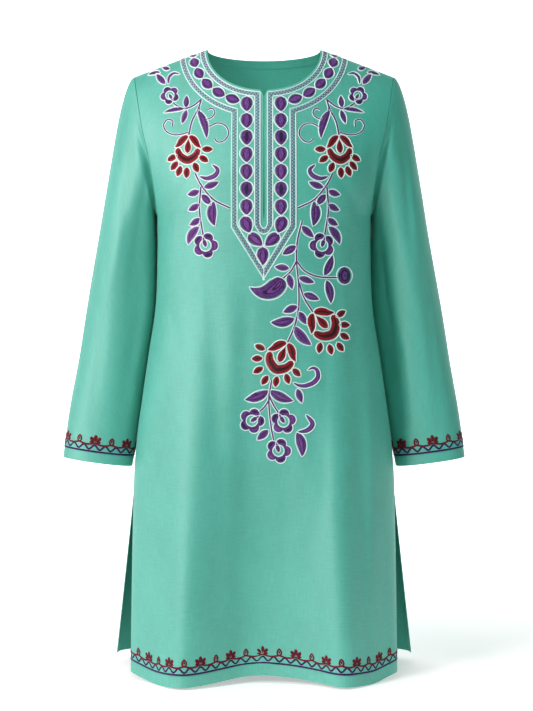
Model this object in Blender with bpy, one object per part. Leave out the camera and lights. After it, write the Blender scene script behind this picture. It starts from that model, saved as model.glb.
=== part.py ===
"""Kurta tunic: a knee length worn garment of cotton cloth, hollow, with nobody in it.

Metres, +Z up, the front faces -Y.  The origin lies on the shoulder line, midway between
the two points where the neckline meets the shoulder seams.
"""
import math
from collections import namedtuple

import bmesh
import bpy

MM = 0.001
WALL = 1.2 * MM
FACING_WALL = 1.0 * MM
SEAM_GAP = 0.3 * MM
FACING_GAP = 0.7 * MM

# Shoulders and neck, in millimetres.
NECK_HALF = 83.0
SHOULDER_HALF = 190.0
SHOULDER_DROP = 40.0
RIDGE_ROUNDING = 40.0
NECK_ROUNDNESS = 2.1
FRONT_NECK_DROP = 66.5
BACK_NECK_DROP = 10.5
ROLL_HEIGHT = 200.0
ROLL_POWER = 1.3

# Lengths down from the shoulder line, in millimetres.
ARMPIT = -245.0
PLACKET_END = -260.0
SLIT_TOP = -648.0
HEM = -909.0

# The placket is a cut down the front centre, closed but for a small notch at the neckline.
PLACKET_HALF_GAP = 0.8
NOTCH_HALF_WIDTH = 5.0
NOTCH_DEPTH = 9.0

# The step that measures a wall's slope, and how near the shoulder line it is measured.
PROBE = 0.1
RIDGE_MARGIN = 0.5

# How finely the walls are laid out.
NECK_COLUMNS = 7
SHOULDER_COLUMNS = 9
YOKE_ROWS = 13
BODY_ROWS = 9
SKIRT_ROWS = 6
CAP_ROWS = 7
CAP_CROWDING = 0.4
ARM_ROWS = 9

# The body at each height: how far it reaches to the side, how deep it is, where the edge of
# each slit stands, and how square the section is.
Level = namedtuple("Level", "z front_half back_half front_depth back_depth front_edge back_edge square")
BODY = [
    Level(30.0, 246.0, 246.0, 84.0, 92.0, 0.0, 0.0, 2.4),
    Level(-40.0, 236.0, 236.0, 92.0, 96.0, 0.0, 0.0, 2.4),
    Level(-120.0, 210.0, 210.0, 107.0, 99.0, 0.0, 0.0, 2.4),
    Level(-180.0, 182.0, 182.0, 116.0, 99.0, 0.0, 0.0, 2.4),
    Level(-245.0, 157.0, 157.0, 120.0, 94.0, 0.0, 0.0, 2.4),
    Level(-280.0, 155.0, 155.0, 119.0, 90.0, 0.0, 0.0, 2.4),
    Level(-374.0, 159.5, 159.5, 113.0, 83.0, 0.0, 0.0, 2.35),
    Level(-449.0, 170.5, 170.5, 108.0, 88.0, 0.0, 0.0, 2.35),
    Level(-507.0, 179.0, 179.0, 104.0, 96.0, 0.0, 0.0, 2.4),
    Level(-564.0, 187.0, 187.0, 101.0, 103.0, 0.0, 0.0, 2.45),
    Level(-616.0, 191.5, 191.5, 98.0, 108.0, 0.0, 0.0, 2.5),
    Level(-648.0, 193.0, 193.0, 96.0, 110.0, 0.0, 0.0, 2.5),
    Level(-766.0, 195.0, 207.0, 90.0, 116.0, 12.0, 27.0, 2.6),
    Level(-930.0, 196.0, 228.0, 86.0, 126.0, 36.0, 76.0, 2.7),
]

# The armhole edge, as half a width at each height.
Edge = namedtuple("Edge", "z half")
ARMHOLE = [
    Edge(-245.0, 157.0),
    Edge(-215.0, 158.0),
    Edge(-165.0, 165.5),
    Edge(-120.0, 176.0),
    Edge(-75.0, 184.0),
    Edge(-40.0, 190.0),
]

# The largest folds: a ridge stands out, a trough has a negative height, and each grows from
# its start down to the hem.  A fold starts narrower, and fades at the panel's edges.
Fold = namedtuple("Fold", "start x_start x_hem width height")
FOLD_TOP_WIDTH = 0.75
FOLD_EDGE_POWER = 6
FRONT_FOLDS = [
    Fold(-350.0, -100.0, -121.0, 44.0, 50.0),
    Fold(-370.0, 98.0, 118.0, 42.0, 46.0),
    Fold(-300.0, -40.0, -30.0, 34.0, -5.0),
    Fold(-420.0, 170.0, 172.0, 16.0, -6.0),
]
BACK_FOLDS = [
    Fold(-400.0, -112.0, -138.0, 44.0, 26.0),
    Fold(-430.0, 4.0, -6.0, 40.0, 20.0),
    Fold(-400.0, 108.0, 134.0, 42.0, 28.0),
    Fold(-330.0, -58.0, -66.0, 26.0, -8.0),
    Fold(-350.0, 54.0, 62.0, 28.0, -7.0),
]

# How much lower than its corners the front hem hangs under its two ridges, and at its middle.
HEM_RIDGE_X = 116.0
HEM_RIDGE_WIDTH = 62.0
HEM_RIDGE_DROP = 9.0

# The sleeve at each height: its inner and outer side, its half depth and its middle.
Ring = namedtuple("Ring", "z inner outer half_depth middle")
SLEEVE = [
    Ring(-290.0, 156.5, 248.0, 60.0, 26.0),
    Ring(-374.0, 159.0, 264.0, 57.0, 34.0),
    Ring(-461.0, 172.5, 278.0, 51.0, 34.0),
    Ring(-544.0, 186.0, 292.0, 43.0, 26.0),
    Ring(-608.5, 197.0, 300.0, 35.0, 15.0),
]
SLEEVE_TILT = math.radians(7.6)
SLEEVE_ROUNDNESS = 2.2
# How far the cloth keeps its direction as it leaves the armhole, and as it enters the arm.
CAP_START = {"top": 21.0, "side": 12.0, "bottom": 18.0}
CAP_END = {"top": 112.0, "side": 70.0, "bottom": 20.0}
# How far the fold under the arm stands off the body.
CAP_ROOM = {"top": 0.0, "side": 0.0, "bottom": 5.0}
# How much of its way backwards that fold leaves to its lower end.
CAP_UNDER = {"top": 0.0, "side": 0.0, "bottom": 0.5}
# How far down the arm its direction is measured, where the cap meets it.
ARM_START = 5.0
# The seam's gap round the armhole.
CAP_GAP = {"top": 0.3, "side": 0.3, "bottom": 0.6}

# Long soft folds of a sleeve, by the angle round it from its outer side towards the front.
SleeveFold = namedtuple("SleeveFold", "start end angle_start angle_end width height")
SLEEVE_FOLDS = [
    SleeveFold(-190.0, -600.0, 118.0, 128.0, 20.0, -5.0),
    SleeveFold(-230.0, -560.0, 78.0, 84.0, 24.0, 3.0),
    SleeveFold(-260.0, -520.0, -70.0, -95.0, 22.0, -4.0),
]

# The strip that finishes the back neckline inside: how far it runs towards the panel's third
# row of points, and how far it stops short of the shoulder seams.
FACING_SHARE = 0.65
FACING_END = 0.75

ROUGHNESS = 0.85
SHARP_ANGLE = math.radians(50)
CLOTH = (0.26, 0.56, 0.47, 1.0)
CLOTH_INSIDE = (0.19, 0.43, 0.36, 1.0)


def minus(a, b):
    return [a[k] - b[k] for k in range(3)]


def unit(v):
    size = math.sqrt(sum(c * c for c in v))
    return [c / size for c in v]


def cross(a, b):
    return [a[1] * b[2] - a[2] * b[1], a[2] * b[0] - a[0] * b[2], a[0] * b[1] - a[1] * b[0]]


def read(rows, column, z):
    """The value of a column at height z, on a smooth curve through the rows."""
    heights = [row.z for row in rows]
    values = [getattr(row, column) for row in rows]
    if heights[0] > heights[-1]:
        heights.reverse()
        values.reverse()
    z = min(max(z, heights[0]), heights[-1])
    last = len(heights) - 1
    i = 0
    while i < last - 1 and z > heights[i + 1]:
        i += 1
    step = heights[i + 1] - heights[i]
    rise = (values[i + 1] - values[i]) / step
    before = rise if i == 0 else (values[i + 1] - values[i - 1]) / (heights[i + 1] - heights[i - 1])
    after = rise if i + 1 == last else (values[i + 2] - values[i]) / (heights[i + 2] - heights[i])
    t = (z - heights[i]) / step
    return (values[i] * (1 + 2 * t) * (1 - t) ** 2 + before * step * t * (1 - t) ** 2
            + values[i + 1] * t * t * (3 - 2 * t) + after * step * t * t * (t - 1))


def ease(t):
    """A smooth step from 0 to 1."""
    t = min(max(t, 0.0), 1.0)
    return t * t * (3.0 - 2.0 * t)


def ridge(x):
    """Height of the shoulder line above or below its neck point."""
    reach = math.hypot(SHOULDER_HALF, RIDGE_ROUNDING) - math.hypot(NECK_HALF, RIDGE_ROUNDING)
    return -SHOULDER_DROP * (math.hypot(x, RIDGE_ROUNDING) - math.hypot(NECK_HALF, RIDGE_ROUNDING)) / reach


def roll(x, z):
    """How far the cloth has come over the shoulder, from 0 on its line to 1 at the chest."""
    below = min(max(ridge(x) - z, 0.0), ROLL_HEIGHT) / ROLL_HEIGHT
    return math.sqrt(1.0 - (1.0 - below) ** ROLL_POWER)


def fold_depth(folds, x, z):
    """What the folds add to the depth at a point of a panel."""
    total = 0.0
    for fold in folds:
        if z < fold.start:
            along = (fold.start - z) / (fold.start - HEM)
            middle = fold.x_start + (fold.x_hem - fold.x_start) * along
            away = (x - middle) / (fold.width * (FOLD_TOP_WIDTH + (1.0 - FOLD_TOP_WIDTH) * along))
            total += fold.height * ease(along) * math.exp(-away * away)
    return total


def depth(side, x, z):
    """How far a panel stands from the plane through the side seams."""
    half = read(BODY, side + "_half", z)
    edge = read(BODY, side + "_edge", z)
    full = read(BODY, side + "_depth", z)
    square = read(BODY, "square", z)
    across = min(abs(x) / half, 1.0)
    folds = FRONT_FOLDS if side == "front" else BACK_FOLDS
    section = (1.0 - across ** square) ** (1.0 / square)
    fade = 1.0 - across ** FOLD_EDGE_POWER
    return edge + (full - edge) * section * roll(x, z) + fold_depth(folds, x, z) * fade


def panel_point(side, x, z):
    """A point of the middle of a panel's wall, and the direction that faces out there."""
    way = -1.0 if side == "front" else 1.0
    point = (x, way * (depth(side, x, z) + SEAM_GAP / MM / 2), z)
    inside = min(abs(x), read(BODY, side + "_half", z) - 2 * PROBE)
    x_in = math.copysign(inside, x)
    z_in = min(z, ridge(x_in) - RIDGE_MARGIN)
    slope_x = (depth(side, x_in + PROBE, z_in) - depth(side, x_in - PROBE, z_in)) / (2 * PROBE)
    slope_z = (depth(side, x_in, z_in + PROBE) - depth(side, x_in, z_in - PROBE)) / (2 * PROBE)
    at_seam = abs(x) > inside or z > z_in
    normal = unit((-slope_x, 0.0 if at_seam else way, -slope_z))
    return point, normal


def section_x(side, part, z):
    """Distance from the middle at a part, 0 to 1, of the way to the side seam."""
    square = read(BODY, "square", z)
    return read(BODY, side + "_half", z) * math.sin(part * math.pi / 2) ** (2.0 / square)


def neck_point(part, drop):
    """A point of the neckline, from the middle at 0 to the shoulder at 1."""
    angle = part * math.pi / 2
    across = math.sin(angle) ** (2.0 / NECK_ROUNDNESS)
    down = max(math.cos(angle), 0.0) ** (2.0 / NECK_ROUNDNESS)
    return NECK_HALF * across, -drop * down


def hem_drop(x):
    """How far the front hem hangs below its corners."""
    away = (abs(x) - HEM_RIDGE_X) / HEM_RIDGE_WIDTH
    return HEM_RIDGE_DROP * math.exp(-away * away)


def row_part(i, rows):
    """Rows are closer at both ends, where the cloth turns most."""
    return 0.5 - 0.5 * math.cos(math.pi * i / rows)


def armhole_point(part):
    """A point of the armhole edge, from the armpit at 0 to the shoulder at 1."""
    z = ARMPIT - part * (ARMPIT + SHOULDER_DROP)
    return read(ARMHOLE, "half", z), z


def yoke_point(side, part_across, part_up):
    """A place on half a panel above the armpits, filled in from its four edges."""
    drop = FRONT_NECK_DROP if side == "front" else BACK_NECK_DROP
    split = NECK_COLUMNS / (NECK_COLUMNS + SHOULDER_COLUMNS)
    if part_across < split:
        top = neck_point(part_across / split, drop)
    else:
        x = NECK_HALF + (SHOULDER_HALF - NECK_HALF) * (part_across - split) / (1.0 - split)
        top = (x, ridge(x))
    bottom = (section_x(side, part_across, ARMPIT), ARMPIT)
    middle = (0.0, ARMPIT + (-drop - ARMPIT) * part_up)
    outer = armhole_point(part_up)
    corners = ((0.0, ARMPIT), (0.0, -drop), (read(BODY, side + "_half", ARMPIT), ARMPIT),
               (SHOULDER_HALF, ridge(SHOULDER_HALF)))
    place = []
    for k in range(2):
        rows = (1 - part_up) * bottom[k] + part_up * top[k]
        columns = (1 - part_across) * middle[k] + part_across * outer[k]
        blend = ((1 - part_up) * ((1 - part_across) * corners[0][k] + part_across * corners[2][k])
                 + part_up * ((1 - part_across) * corners[1][k] + part_across * corners[3][k]))
        place.append(rows + columns - blend)
    return place[0], min(place[1], ridge(place[0]))


def body_heights():
    """Heights of the rows below the armpits, down to the hem."""
    heights = [PLACKET_END]
    for i in range(1, BODY_ROWS + 1):
        heights.append(PLACKET_END + (SLIT_TOP - PLACKET_END) * i / BODY_ROWS)
    for i in range(1, SKIRT_ROWS + 1):
        heights.append(SLIT_TOP + (HEM - SLIT_TOP) * i / SKIRT_ROWS)
    return heights


def notch(z):
    """Half the width of the placket's cut at a height."""
    open_part = 1.0 - (-FRONT_NECK_DROP - z) / NOTCH_DEPTH
    return PLACKET_HALF_GAP + (NOTCH_HALF_WIDTH - PLACKET_HALF_GAP) * max(open_part, 0.0)


def wall(name, points, normals, faces, thickness, colour):
    """Make a closed wall of even thickness from the points of its middle, in millimetres."""
    half = thickness / MM / 2
    outer = [[p[k] + n[k] * half for k in range(3)] for p, n in zip(points, normals)]
    inner = [[p[k] - n[k] * half for k in range(3)] for p, n in zip(points, normals)]
    count = len(points)
    used = {(face[k], face[(k + 1) % 4]) for face in faces for k in range(4)}
    rims = [(b, a, a + count, b + count) for a, b in used if (b, a) not in used]
    shape = list(faces) + [tuple(i + count for i in reversed(face)) for face in faces] + sorted(rims)
    mesh = bpy.data.meshes.new(name)
    mesh.from_pydata([[v * MM for v in p] for p in outer + inner], [], shape)
    work = bmesh.new()
    work.from_mesh(mesh)
    bmesh.ops.recalc_face_normals(work, faces=work.faces)
    work.to_mesh(mesh)
    work.free()
    mesh.shade_smooth()
    mesh.set_sharp_from_angle(angle=SHARP_ANGLE)
    material = bpy.data.materials.new(name + "_cloth")
    material.use_nodes = True
    surface = material.node_tree.nodes["Principled BSDF"]
    surface.inputs["Base Color"].default_value = colour
    surface.inputs["Roughness"].default_value = ROUGHNESS
    surface.inputs["Metallic"].default_value = 0.0
    mesh.materials.append(material)
    piece = bpy.data.objects.new(name, mesh)
    bpy.context.scene.collection.objects.link(piece)
    return piece


def make_panel(side):
    """A front or back panel, cut from one length of cloth, from its hem to the shoulders."""
    columns = NECK_COLUMNS + SHOULDER_COLUMNS
    points, normals, faces = [], [], []

    def add(x, z):
        point, normal = panel_point(side, x, z)
        points.append(point)
        normals.append(normal)
        return len(points) - 1

    grid = {}
    rows = []
    for z in reversed(body_heights()):
        rows.append([(section_x(side, c / columns, z), z) for c in range(columns + 1)])
    for i in range(YOKE_ROWS + 1):
        up = row_part(i, YOKE_ROWS)
        rows.append([yoke_point(side, c / columns, up) for c in range(columns + 1)])
    cut_from = len(body_heights())
    for r, row in enumerate(rows):
        for c, (x, z) in enumerate(row):
            if side == "front" and z < SLIT_TOP:
                z -= hem_drop(x) * ease((SLIT_TOP - z) / (SLIT_TOP - HEM))
            if c > 0:
                grid[r, c] = add(x, z)
                grid[r, -c] = add(-x, z)
            elif side == "front" and r >= cut_from:
                grid[r, "right of cut"] = add(notch(z), z)
                grid[r, "left of cut"] = add(-notch(z), z)
            else:
                grid[r, 0] = add(x, z)

    def at(r, c, half):
        if c == 0:
            return grid.get((r, half + " of cut"), grid.get((r, 0)))
        return grid[r, c if half == "right" else -c]

    for r in range(len(rows) - 1):
        for c in range(columns):
            for half in ("left", "right"):
                near, far = (c, c + 1) if half == "right" else (c + 1, c)
                face = (at(r, near, half), at(r, far, half), at(r + 1, far, half), at(r + 1, near, half))
                faces.append(face if side == "front" else tuple(reversed(face)))
    return wall(side + "_panel", points, normals, faces, WALL, CLOTH)


def sleeve_ring(z, angle):
    """A point of the middle of the sleeve's wall below the cap, by its angle from outside."""
    inner = read(SLEEVE, "inner", z)
    outer = read(SLEEVE, "outer", z)
    across = math.copysign(abs(math.cos(angle)) ** (2.0 / SLEEVE_ROUNDNESS), math.cos(angle))
    round_part = math.copysign(abs(math.sin(angle)) ** (2.0 / SLEEVE_ROUNDNESS), math.sin(angle))
    half = (outer - inner) / 2
    push = 0.0
    for fold in SLEEVE_FOLDS:
        along = (fold.start - z) / (fold.start - fold.end)
        if 0.0 < along < 1.0:
            middle = fold.angle_start + (fold.angle_end - fold.angle_start) * along
            away = (math.degrees(angle) - middle) / fold.width
            push += fold.height * math.sin(math.pi * along) * math.exp(-away * away)
    x = (inner + outer) / 2 + (half + push) * across * math.cos(SLEEVE_TILT)
    y = read(SLEEVE, "middle", z) - (read(SLEEVE, "half_depth", z) + push) * round_part
    return x, y, z + half * across * math.sin(SLEEVE_TILT)


def by_turn(values, turn):
    """Blend the top, side and bottom values by the turn round the armhole, 0 at the top."""
    if turn < 0.5:
        return values["top"] + (values["side"] - values["top"]) * ease(2 * turn)
    return values["side"] + (values["bottom"] - values["side"]) * ease(2 * turn - 1)


def armhole_loop():
    """The armhole edge as a loop: top, front, armpit, back.  Each entry has its turn and side."""
    loop = []
    for side, steps in (("front", range(YOKE_ROWS, 0, -1)), ("back", range(0, YOKE_ROWS))):
        for i in steps:
            x, z = armhole_point(row_part(i, YOKE_ROWS))
            point, normal = panel_point(side, x, z)
            loop.append((side, [point[0], 0.0 if i in (0, YOKE_ROWS) else point[1], point[2]], normal))
    return loop


def make_sleeve(name, way):
    """A long sleeve set into the armhole, one piece closed by a seam under the arm."""
    loop = armhole_loop()
    count = len(loop)
    # The share of the way round, measured along the edge, from the top at 0 to the armpit at 1.
    run = [0.0]
    for i in range(count):
        run.append(run[-1] + math.dist(loop[i][1], loop[(i + 1) % count][1]))
    half_run = run[YOKE_ROWS]
    lines = []
    edge_normals = []
    for i, (side, edge, normal) in enumerate(loop):
        tangent = minus(loop[(i + 1) % count][1], loop[i - 1][1])
        if side == "front":
            turn = run[i] / half_run
        else:
            turn = 1.0 - (run[i] - half_run) / (run[count] - half_run)
        angle = math.pi * turn * (1 if side == "front" else -1)
        if i == YOKE_ROWS:
            angle = math.pi
            normal = (1.0, 0.0, 0.0)
        edge_normals.append(normal)
        leave = unit(cross(unit(normal), unit(tangent)))
        start = [edge[k] + leave[k] * by_turn(CAP_GAP, turn) for k in range(3)]
        first = sleeve_ring(SLEEVE[0].z, angle)
        enter = unit(minus(sleeve_ring(SLEEVE[0].z - ARM_START, angle), first))
        pull_start = by_turn(CAP_START, turn)
        pull_end = by_turn(CAP_END, turn)
        knots = [start,
                 [start[k] + leave[k] * pull_start for k in range(3)],
                 [first[k] - enter[k] * pull_end for k in range(3)],
                 first]
        knots[1][0] += by_turn(CAP_ROOM, turn) / 2
        knots[2][0] += by_turn(CAP_ROOM, turn)
        knots[2][1] += by_turn(CAP_UNDER, turn) * (start[1] - first[1])
        line = []
        for r in range(CAP_ROWS):
            t = r / CAP_ROWS
            t = t * (1.0 - CAP_CROWDING + CAP_CROWDING * t)
            mix = ((1 - t) ** 3, 3 * t * (1 - t) ** 2, 3 * t * t * (1 - t), t ** 3)
            line.append([sum(mix[m] * knots[m][k] for m in range(4)) for k in range(3)])
        for r in range(ARM_ROWS + 1):
            z = SLEEVE[0].z + (SLEEVE[-1].z - SLEEVE[0].z) * r / ARM_ROWS
            line.append(list(sleeve_ring(z, angle)))
        lines.append(line)
    rows = len(lines[0])
    points, normals, faces = [], [], []
    for r in range(rows):
        for i in range(count):
            round_way = minus(lines[(i + 1) % count][r], lines[i - 1][r])
            down_way = minus(lines[i][min(r + 1, rows - 1)], lines[i][max(r - 1, 0)])
            normal = [-part for part in unit(cross(unit(down_way), unit(round_way)))]
            if r == 0:
                normal = edge_normals[i]
            x, y, z = lines[i][r]
            points.append((way * x, y, z))
            normals.append((way * normal[0], normal[1], normal[2]))
    for r in range(rows - 1):
        for i in range(count):
            j = (i + 1) % count
            face = (r * count + i, r * count + j, (r + 1) * count + j, (r + 1) * count + i)
            faces.append(face if way > 0 else tuple(reversed(face)))
    return wall(name, points, normals, faces, WALL, CLOTH)


def make_facing():
    """A narrow strip inside the back neckline, made from the panel's own points, moved in."""
    inward = (WALL + FACING_WALL) / MM / 2 + FACING_GAP / MM
    columns = NECK_COLUMNS + SHOULDER_COLUMNS

    def on_panel(row, column):
        x, z = yoke_point("back", abs(column) / columns, row_part(row, YOKE_ROWS))
        point, normal = panel_point("back", math.copysign(x, column), z)
        return [point[k] - normal[k] * inward for k in range(3)], normal

    def between(first, second, share):
        point = [first[0][k] + (second[0][k] - first[0][k]) * share for k in range(3)]
        return point, unit([first[1][k] + (second[1][k] - first[1][k]) * share for k in range(3)])

    points, normals, faces = [], [], []
    top = YOKE_ROWS
    for upper, lower, share in ((top, top, 0.0), (top - 1, top - 1, 0.0), (top - 1, top - 2, FACING_SHARE)):
        row = [between(on_panel(upper, c), on_panel(lower, c), share)
               for c in range(-NECK_COLUMNS, NECK_COLUMNS + 1)]
        row[0] = between(row[0], row[1], FACING_END)
        row[-1] = between(row[-1], row[-2], FACING_END)
        for point, normal in row:
            points.append(point)
            normals.append(normal)
    span = 2 * NECK_COLUMNS + 1
    for r in range(2):
        for c in range(span - 1):
            faces.append((r * span + c, r * span + c + 1, (r + 1) * span + c + 1, (r + 1) * span + c))
    return wall("neck_facing", points, normals, faces, FACING_WALL, CLOTH_INSIDE)


for old in list(bpy.data.objects):
    bpy.data.objects.remove(old, do_unlink=True)

make_panel("front")
make_panel("back")
make_sleeve("sleeve_left", 1)
make_sleeve("sleeve_right", -1)
make_facing()
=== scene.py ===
"""Kurta tunic, dressed: mint cotton in its worn shape, with purple, red and white embroidery."""
import math
from collections import namedtuple

import bmesh
import bpy
import numpy as np
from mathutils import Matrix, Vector


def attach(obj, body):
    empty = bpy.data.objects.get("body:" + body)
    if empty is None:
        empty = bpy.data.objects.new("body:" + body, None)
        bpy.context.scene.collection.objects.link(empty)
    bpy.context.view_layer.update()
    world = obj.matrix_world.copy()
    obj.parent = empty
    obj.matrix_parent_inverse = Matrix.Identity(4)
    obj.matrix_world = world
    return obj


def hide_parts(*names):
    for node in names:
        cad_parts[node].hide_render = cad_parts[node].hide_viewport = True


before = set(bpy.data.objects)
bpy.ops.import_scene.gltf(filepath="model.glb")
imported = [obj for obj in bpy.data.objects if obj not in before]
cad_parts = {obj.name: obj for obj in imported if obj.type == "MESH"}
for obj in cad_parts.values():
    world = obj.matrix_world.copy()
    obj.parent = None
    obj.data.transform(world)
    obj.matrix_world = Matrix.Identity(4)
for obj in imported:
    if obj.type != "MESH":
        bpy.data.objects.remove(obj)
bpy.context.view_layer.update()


# Camera: straight in front of the tunic and aimed at its middle, from a little above it, as the
# photograph was taken.  The picture's contrast is set here too.
CAMERA_TARGET = Vector((0.0037, 0.0, -0.4505))
CAMERA_DISTANCE = 2.55
CAMERA_RISE = math.radians(2.0)
VIEW_HEIGHT = 1.0551
VIEW_GAMMA = 0.87
VIEW_EXPOSURE = 0.15


def put(name, data):
    """A new object in the scene, from a mesh, a light or a camera."""
    piece = bpy.data.objects.new(name, data)
    bpy.context.scene.collection.objects.link(piece)
    return piece


camera_data = bpy.data.cameras.new("camera")
camera_data.sensor_fit = "VERTICAL"
camera_data.sensor_height = 24.0
camera_data.angle = 2 * math.atan(VIEW_HEIGHT / 2 / CAMERA_DISTANCE)
camera = put("camera", camera_data)
camera_back = Vector((0.0, -math.cos(CAMERA_RISE), math.sin(CAMERA_RISE)))
camera.location = CAMERA_TARGET + CAMERA_DISTANCE * camera_back
camera.rotation_euler = (-camera_back).to_track_quat("-Z", "Y").to_euler()
bpy.context.scene.camera = camera
bpy.context.scene.view_settings.view_transform = "Standard"
bpy.context.scene.view_settings.gamma = VIEW_GAMMA
bpy.context.scene.view_settings.exposure = VIEW_EXPOSURE


# Front panel: one length of mint cotton cambric from hem to shoulders, cut with a round neck
# and a slit placket, hemmed by machine and hanging from the shoulders in soft folds.
# Sizes are in millimetres, depths are measured forwards from the plane of the side seams.
MM = 0.001
SHELL = 1.0
SEAM_GAP = 0.3
NECK_HALF = 83.0
SHOULDER_HALF = 190.0
SHOULDER_DROP = 40.0
RIDGE_ROUNDING = 40.0
NECK_ROUNDNESS = 2.1
FRONT_NECK_DROP = 66.5
BACK_NECK_DROP = 10.5
ROLL_HEIGHT = 200.0
ROLL_POWER = 1.3
ARMPIT = -245.0
PLACKET_END = -260.0
SLIT_TOP = -648.0
HEM = -909.0
PLACKET_HALF_GAP = 0.8
NOTCH_HALF_WIDTH = 5.0
NOTCH_DEPTH = 9.0
HEM_RIDGE_X = 116.0
HEM_RIDGE_WIDTH = 76.0
HEM_RIDGE_DROP = 9.0
HEM_SIDE_X = 160.0
HEM_SIDE_WIDTH = 25.0
HEM_SIDE_DROP = 4.5

Level = namedtuple("Level", "z front_half back_half front_depth back_depth front_edge back_edge square")
BODY = [
    Level(30, 246, 246, 84, 92, 0, 0, 2.4),
    Level(-40, 236, 236, 92, 96, 0, 0, 2.4),
    Level(-120, 210, 210, 107, 99, 0, 0, 2.4),
    Level(-180, 182, 182, 116, 99, 0, 0, 2.4),
    Level(-245, 157, 157, 120, 94, 0, 0, 2.4),
    Level(-260, 157, 157, 119.6, 92.3, 0, 0, 2.4),
    Level(-280, 156.5, 156.5, 119, 90, 0, 0, 2.4),
    Level(-374, 159.5, 159.5, 113, 83, 0, 0, 2.35),
    Level(-449, 170.5, 170.5, 108, 88, 0, 0, 2.35),
    Level(-507, 179, 179, 104, 96, 0, 0, 2.4),
    Level(-564, 187, 187, 101, 103, 0, 0, 2.45),
    Level(-616, 191.5, 191.5, 98, 108, 0, 0, 2.5),
    Level(-648, 193, 193, 96, 110, 0, 0, 2.5),
    Level(-766, 195, 207, 90, 116, 12, 27, 2.6),
    Level(-930, 196, 228, 86, 126, 36, 76, 2.7),
]
Edge = namedtuple("Edge", "z half")
ARMHOLE = [
    Edge(-245, 157),
    Edge(-215, 158),
    Edge(-165, 165.5),
    Edge(-120, 176),
    Edge(-75, 184),
    Edge(-40, 190),
]
Fold = namedtuple("Fold", "start x_start x_hem width height")
FRONT_FOLDS = [
    Fold(-350, -100, -121, 44, 50),
    Fold(-370, 98, 118, 42, 46),
    Fold(-300, -40, -30, 34, -5),
    Fold(-420, 170, 172, 16, -6),
]
# Soft creases: from a top point to a foot point, bowed sideways, each as wide and high as said.
Crease = namedtuple("Crease", "x_top z_top x_foot z_foot bow width height")
FRONT_CREASES = [
    Crease(-77, -262, -66, -1060, 4, 13, -2.2),
    Crease(-62, -400, -64, -1400, 0, 30, 14),
    Crease(162, -380, 170, -1400, 0, 24, 11),
    Crease(-48, -290, -36, -760, -3, 13, 2.6),
    Crease(46, -430, 57, -1080, 5, 20, 3),
    Crease(92, -330, 88, -760, -3, 10, -2.2),
    Crease(132, -330, 146, -1060, 4, 13, -2.4),
    Crease(149, -420, 160, -980, 2, 9, 2.2),
    Crease(8, -610, 2, -1010, -4, 17, -2.4),
    Crease(-146, -262, -82, -176, 7, 8, -2.3),
    Crease(-150, -282, -96, -226, 5, 7, 1.7),
    Crease(146, -258, 92, -184, -6, 8, -2),
    Crease(151, -290, 104, -236, -5, 7, 1.5),
    Crease(-160, -96, -140, -210, -5, 7, -1.8),
    Crease(158, -104, 143, -226, 5, 7, -1.7),
    Crease(-146, -352, -118, -470, 3, 9, -2.2),
    Crease(146, -372, 122, -500, -4, 8, -1.8),
    Crease(-160, -520, -152, -760, -3, 10, -2),
    Crease(-128, -212, -138, -330, 3, 4.5, 1.1),
    Crease(-112, -222, -120, -318, -2, 5, -1),
    Crease(-96, -300, -84, -446, 3, 5, 0.9),
    Crease(-22, -352, -30, -470, 2, 4.5, -0.9),
    Crease(-8, -384, -14, -560, -3, 6, 0.8),
    Crease(62, -452, 74, -640, 4, 5.5, -0.9),
    Crease(108, -300, 124, -420, -3, 4.5, 1),
    Crease(118, -250, 137, -352, 4, 5, -1.1),
    Crease(-70, -560, -78, -760, 4, 6.5, 0.9),
    Crease(34, -600, 28, -850, -3, 7, -0.9),
    Crease(128, -640, 136, -860, 3, 6, 0.9),
    Crease(-138, -600, -131, -880, -3, 7, -0.9),
    Crease(-24, -640, -20, -905, 2, 6, 0.7),
]


def read(table, column, z):
    """The value of a column at height z, on a smooth curve through the table's rows."""
    rows = sorted(table, key=lambda row: row.z)
    heights = np.array([row.z for row in rows])
    values = np.array([getattr(row, column) for row in rows])
    rises = np.diff(values) / np.diff(heights)
    slopes = np.empty(len(rows))
    slopes[0], slopes[-1] = rises[0], rises[-1]
    slopes[1:-1] = (values[2:] - values[:-2]) / (heights[2:] - heights[:-2])
    z = np.clip(z, heights[0], heights[-1])
    i = np.clip(np.searchsorted(heights, z, side="right") - 1, 0, len(rows) - 2)
    step = heights[i + 1] - heights[i]
    t = (z - heights[i]) / step
    return (values[i] * (1 + 2 * t) * (1 - t) ** 2 + slopes[i] * step * t * (1 - t) ** 2
            + values[i + 1] * t * t * (3 - 2 * t) + slopes[i + 1] * step * t * t * (t - 1))


def run_length(points, axis=0):
    """How far along its line each point lies, on one line or on every line of a grid."""
    steps = np.diff(points, axis=axis, prepend=points.take([0], axis=axis))
    return np.cumsum(np.linalg.norm(steps, axis=-1), axis=axis)


def ease(t):
    """A smooth step from 0 to 1."""
    t = np.clip(t, 0.0, 1.0)
    return t * t * (3.0 - 2.0 * t)


def shoulder_line(x):
    """Height of the shoulder line above or below its neck point."""
    reach = math.hypot(SHOULDER_HALF, RIDGE_ROUNDING) - math.hypot(NECK_HALF, RIDGE_ROUNDING)
    return -SHOULDER_DROP * (np.hypot(x, RIDGE_ROUNDING) - math.hypot(NECK_HALF, RIDGE_ROUNDING)) / reach


def shoulder_roll(x, z):
    """How far the cloth has come over the shoulder, from 0 on its line to 1 at the chest."""
    below = np.clip(shoulder_line(x) - z, 0.0, ROLL_HEIGHT) / ROLL_HEIGHT
    return np.sqrt(1.0 - (1.0 - below) ** ROLL_POWER)


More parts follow.
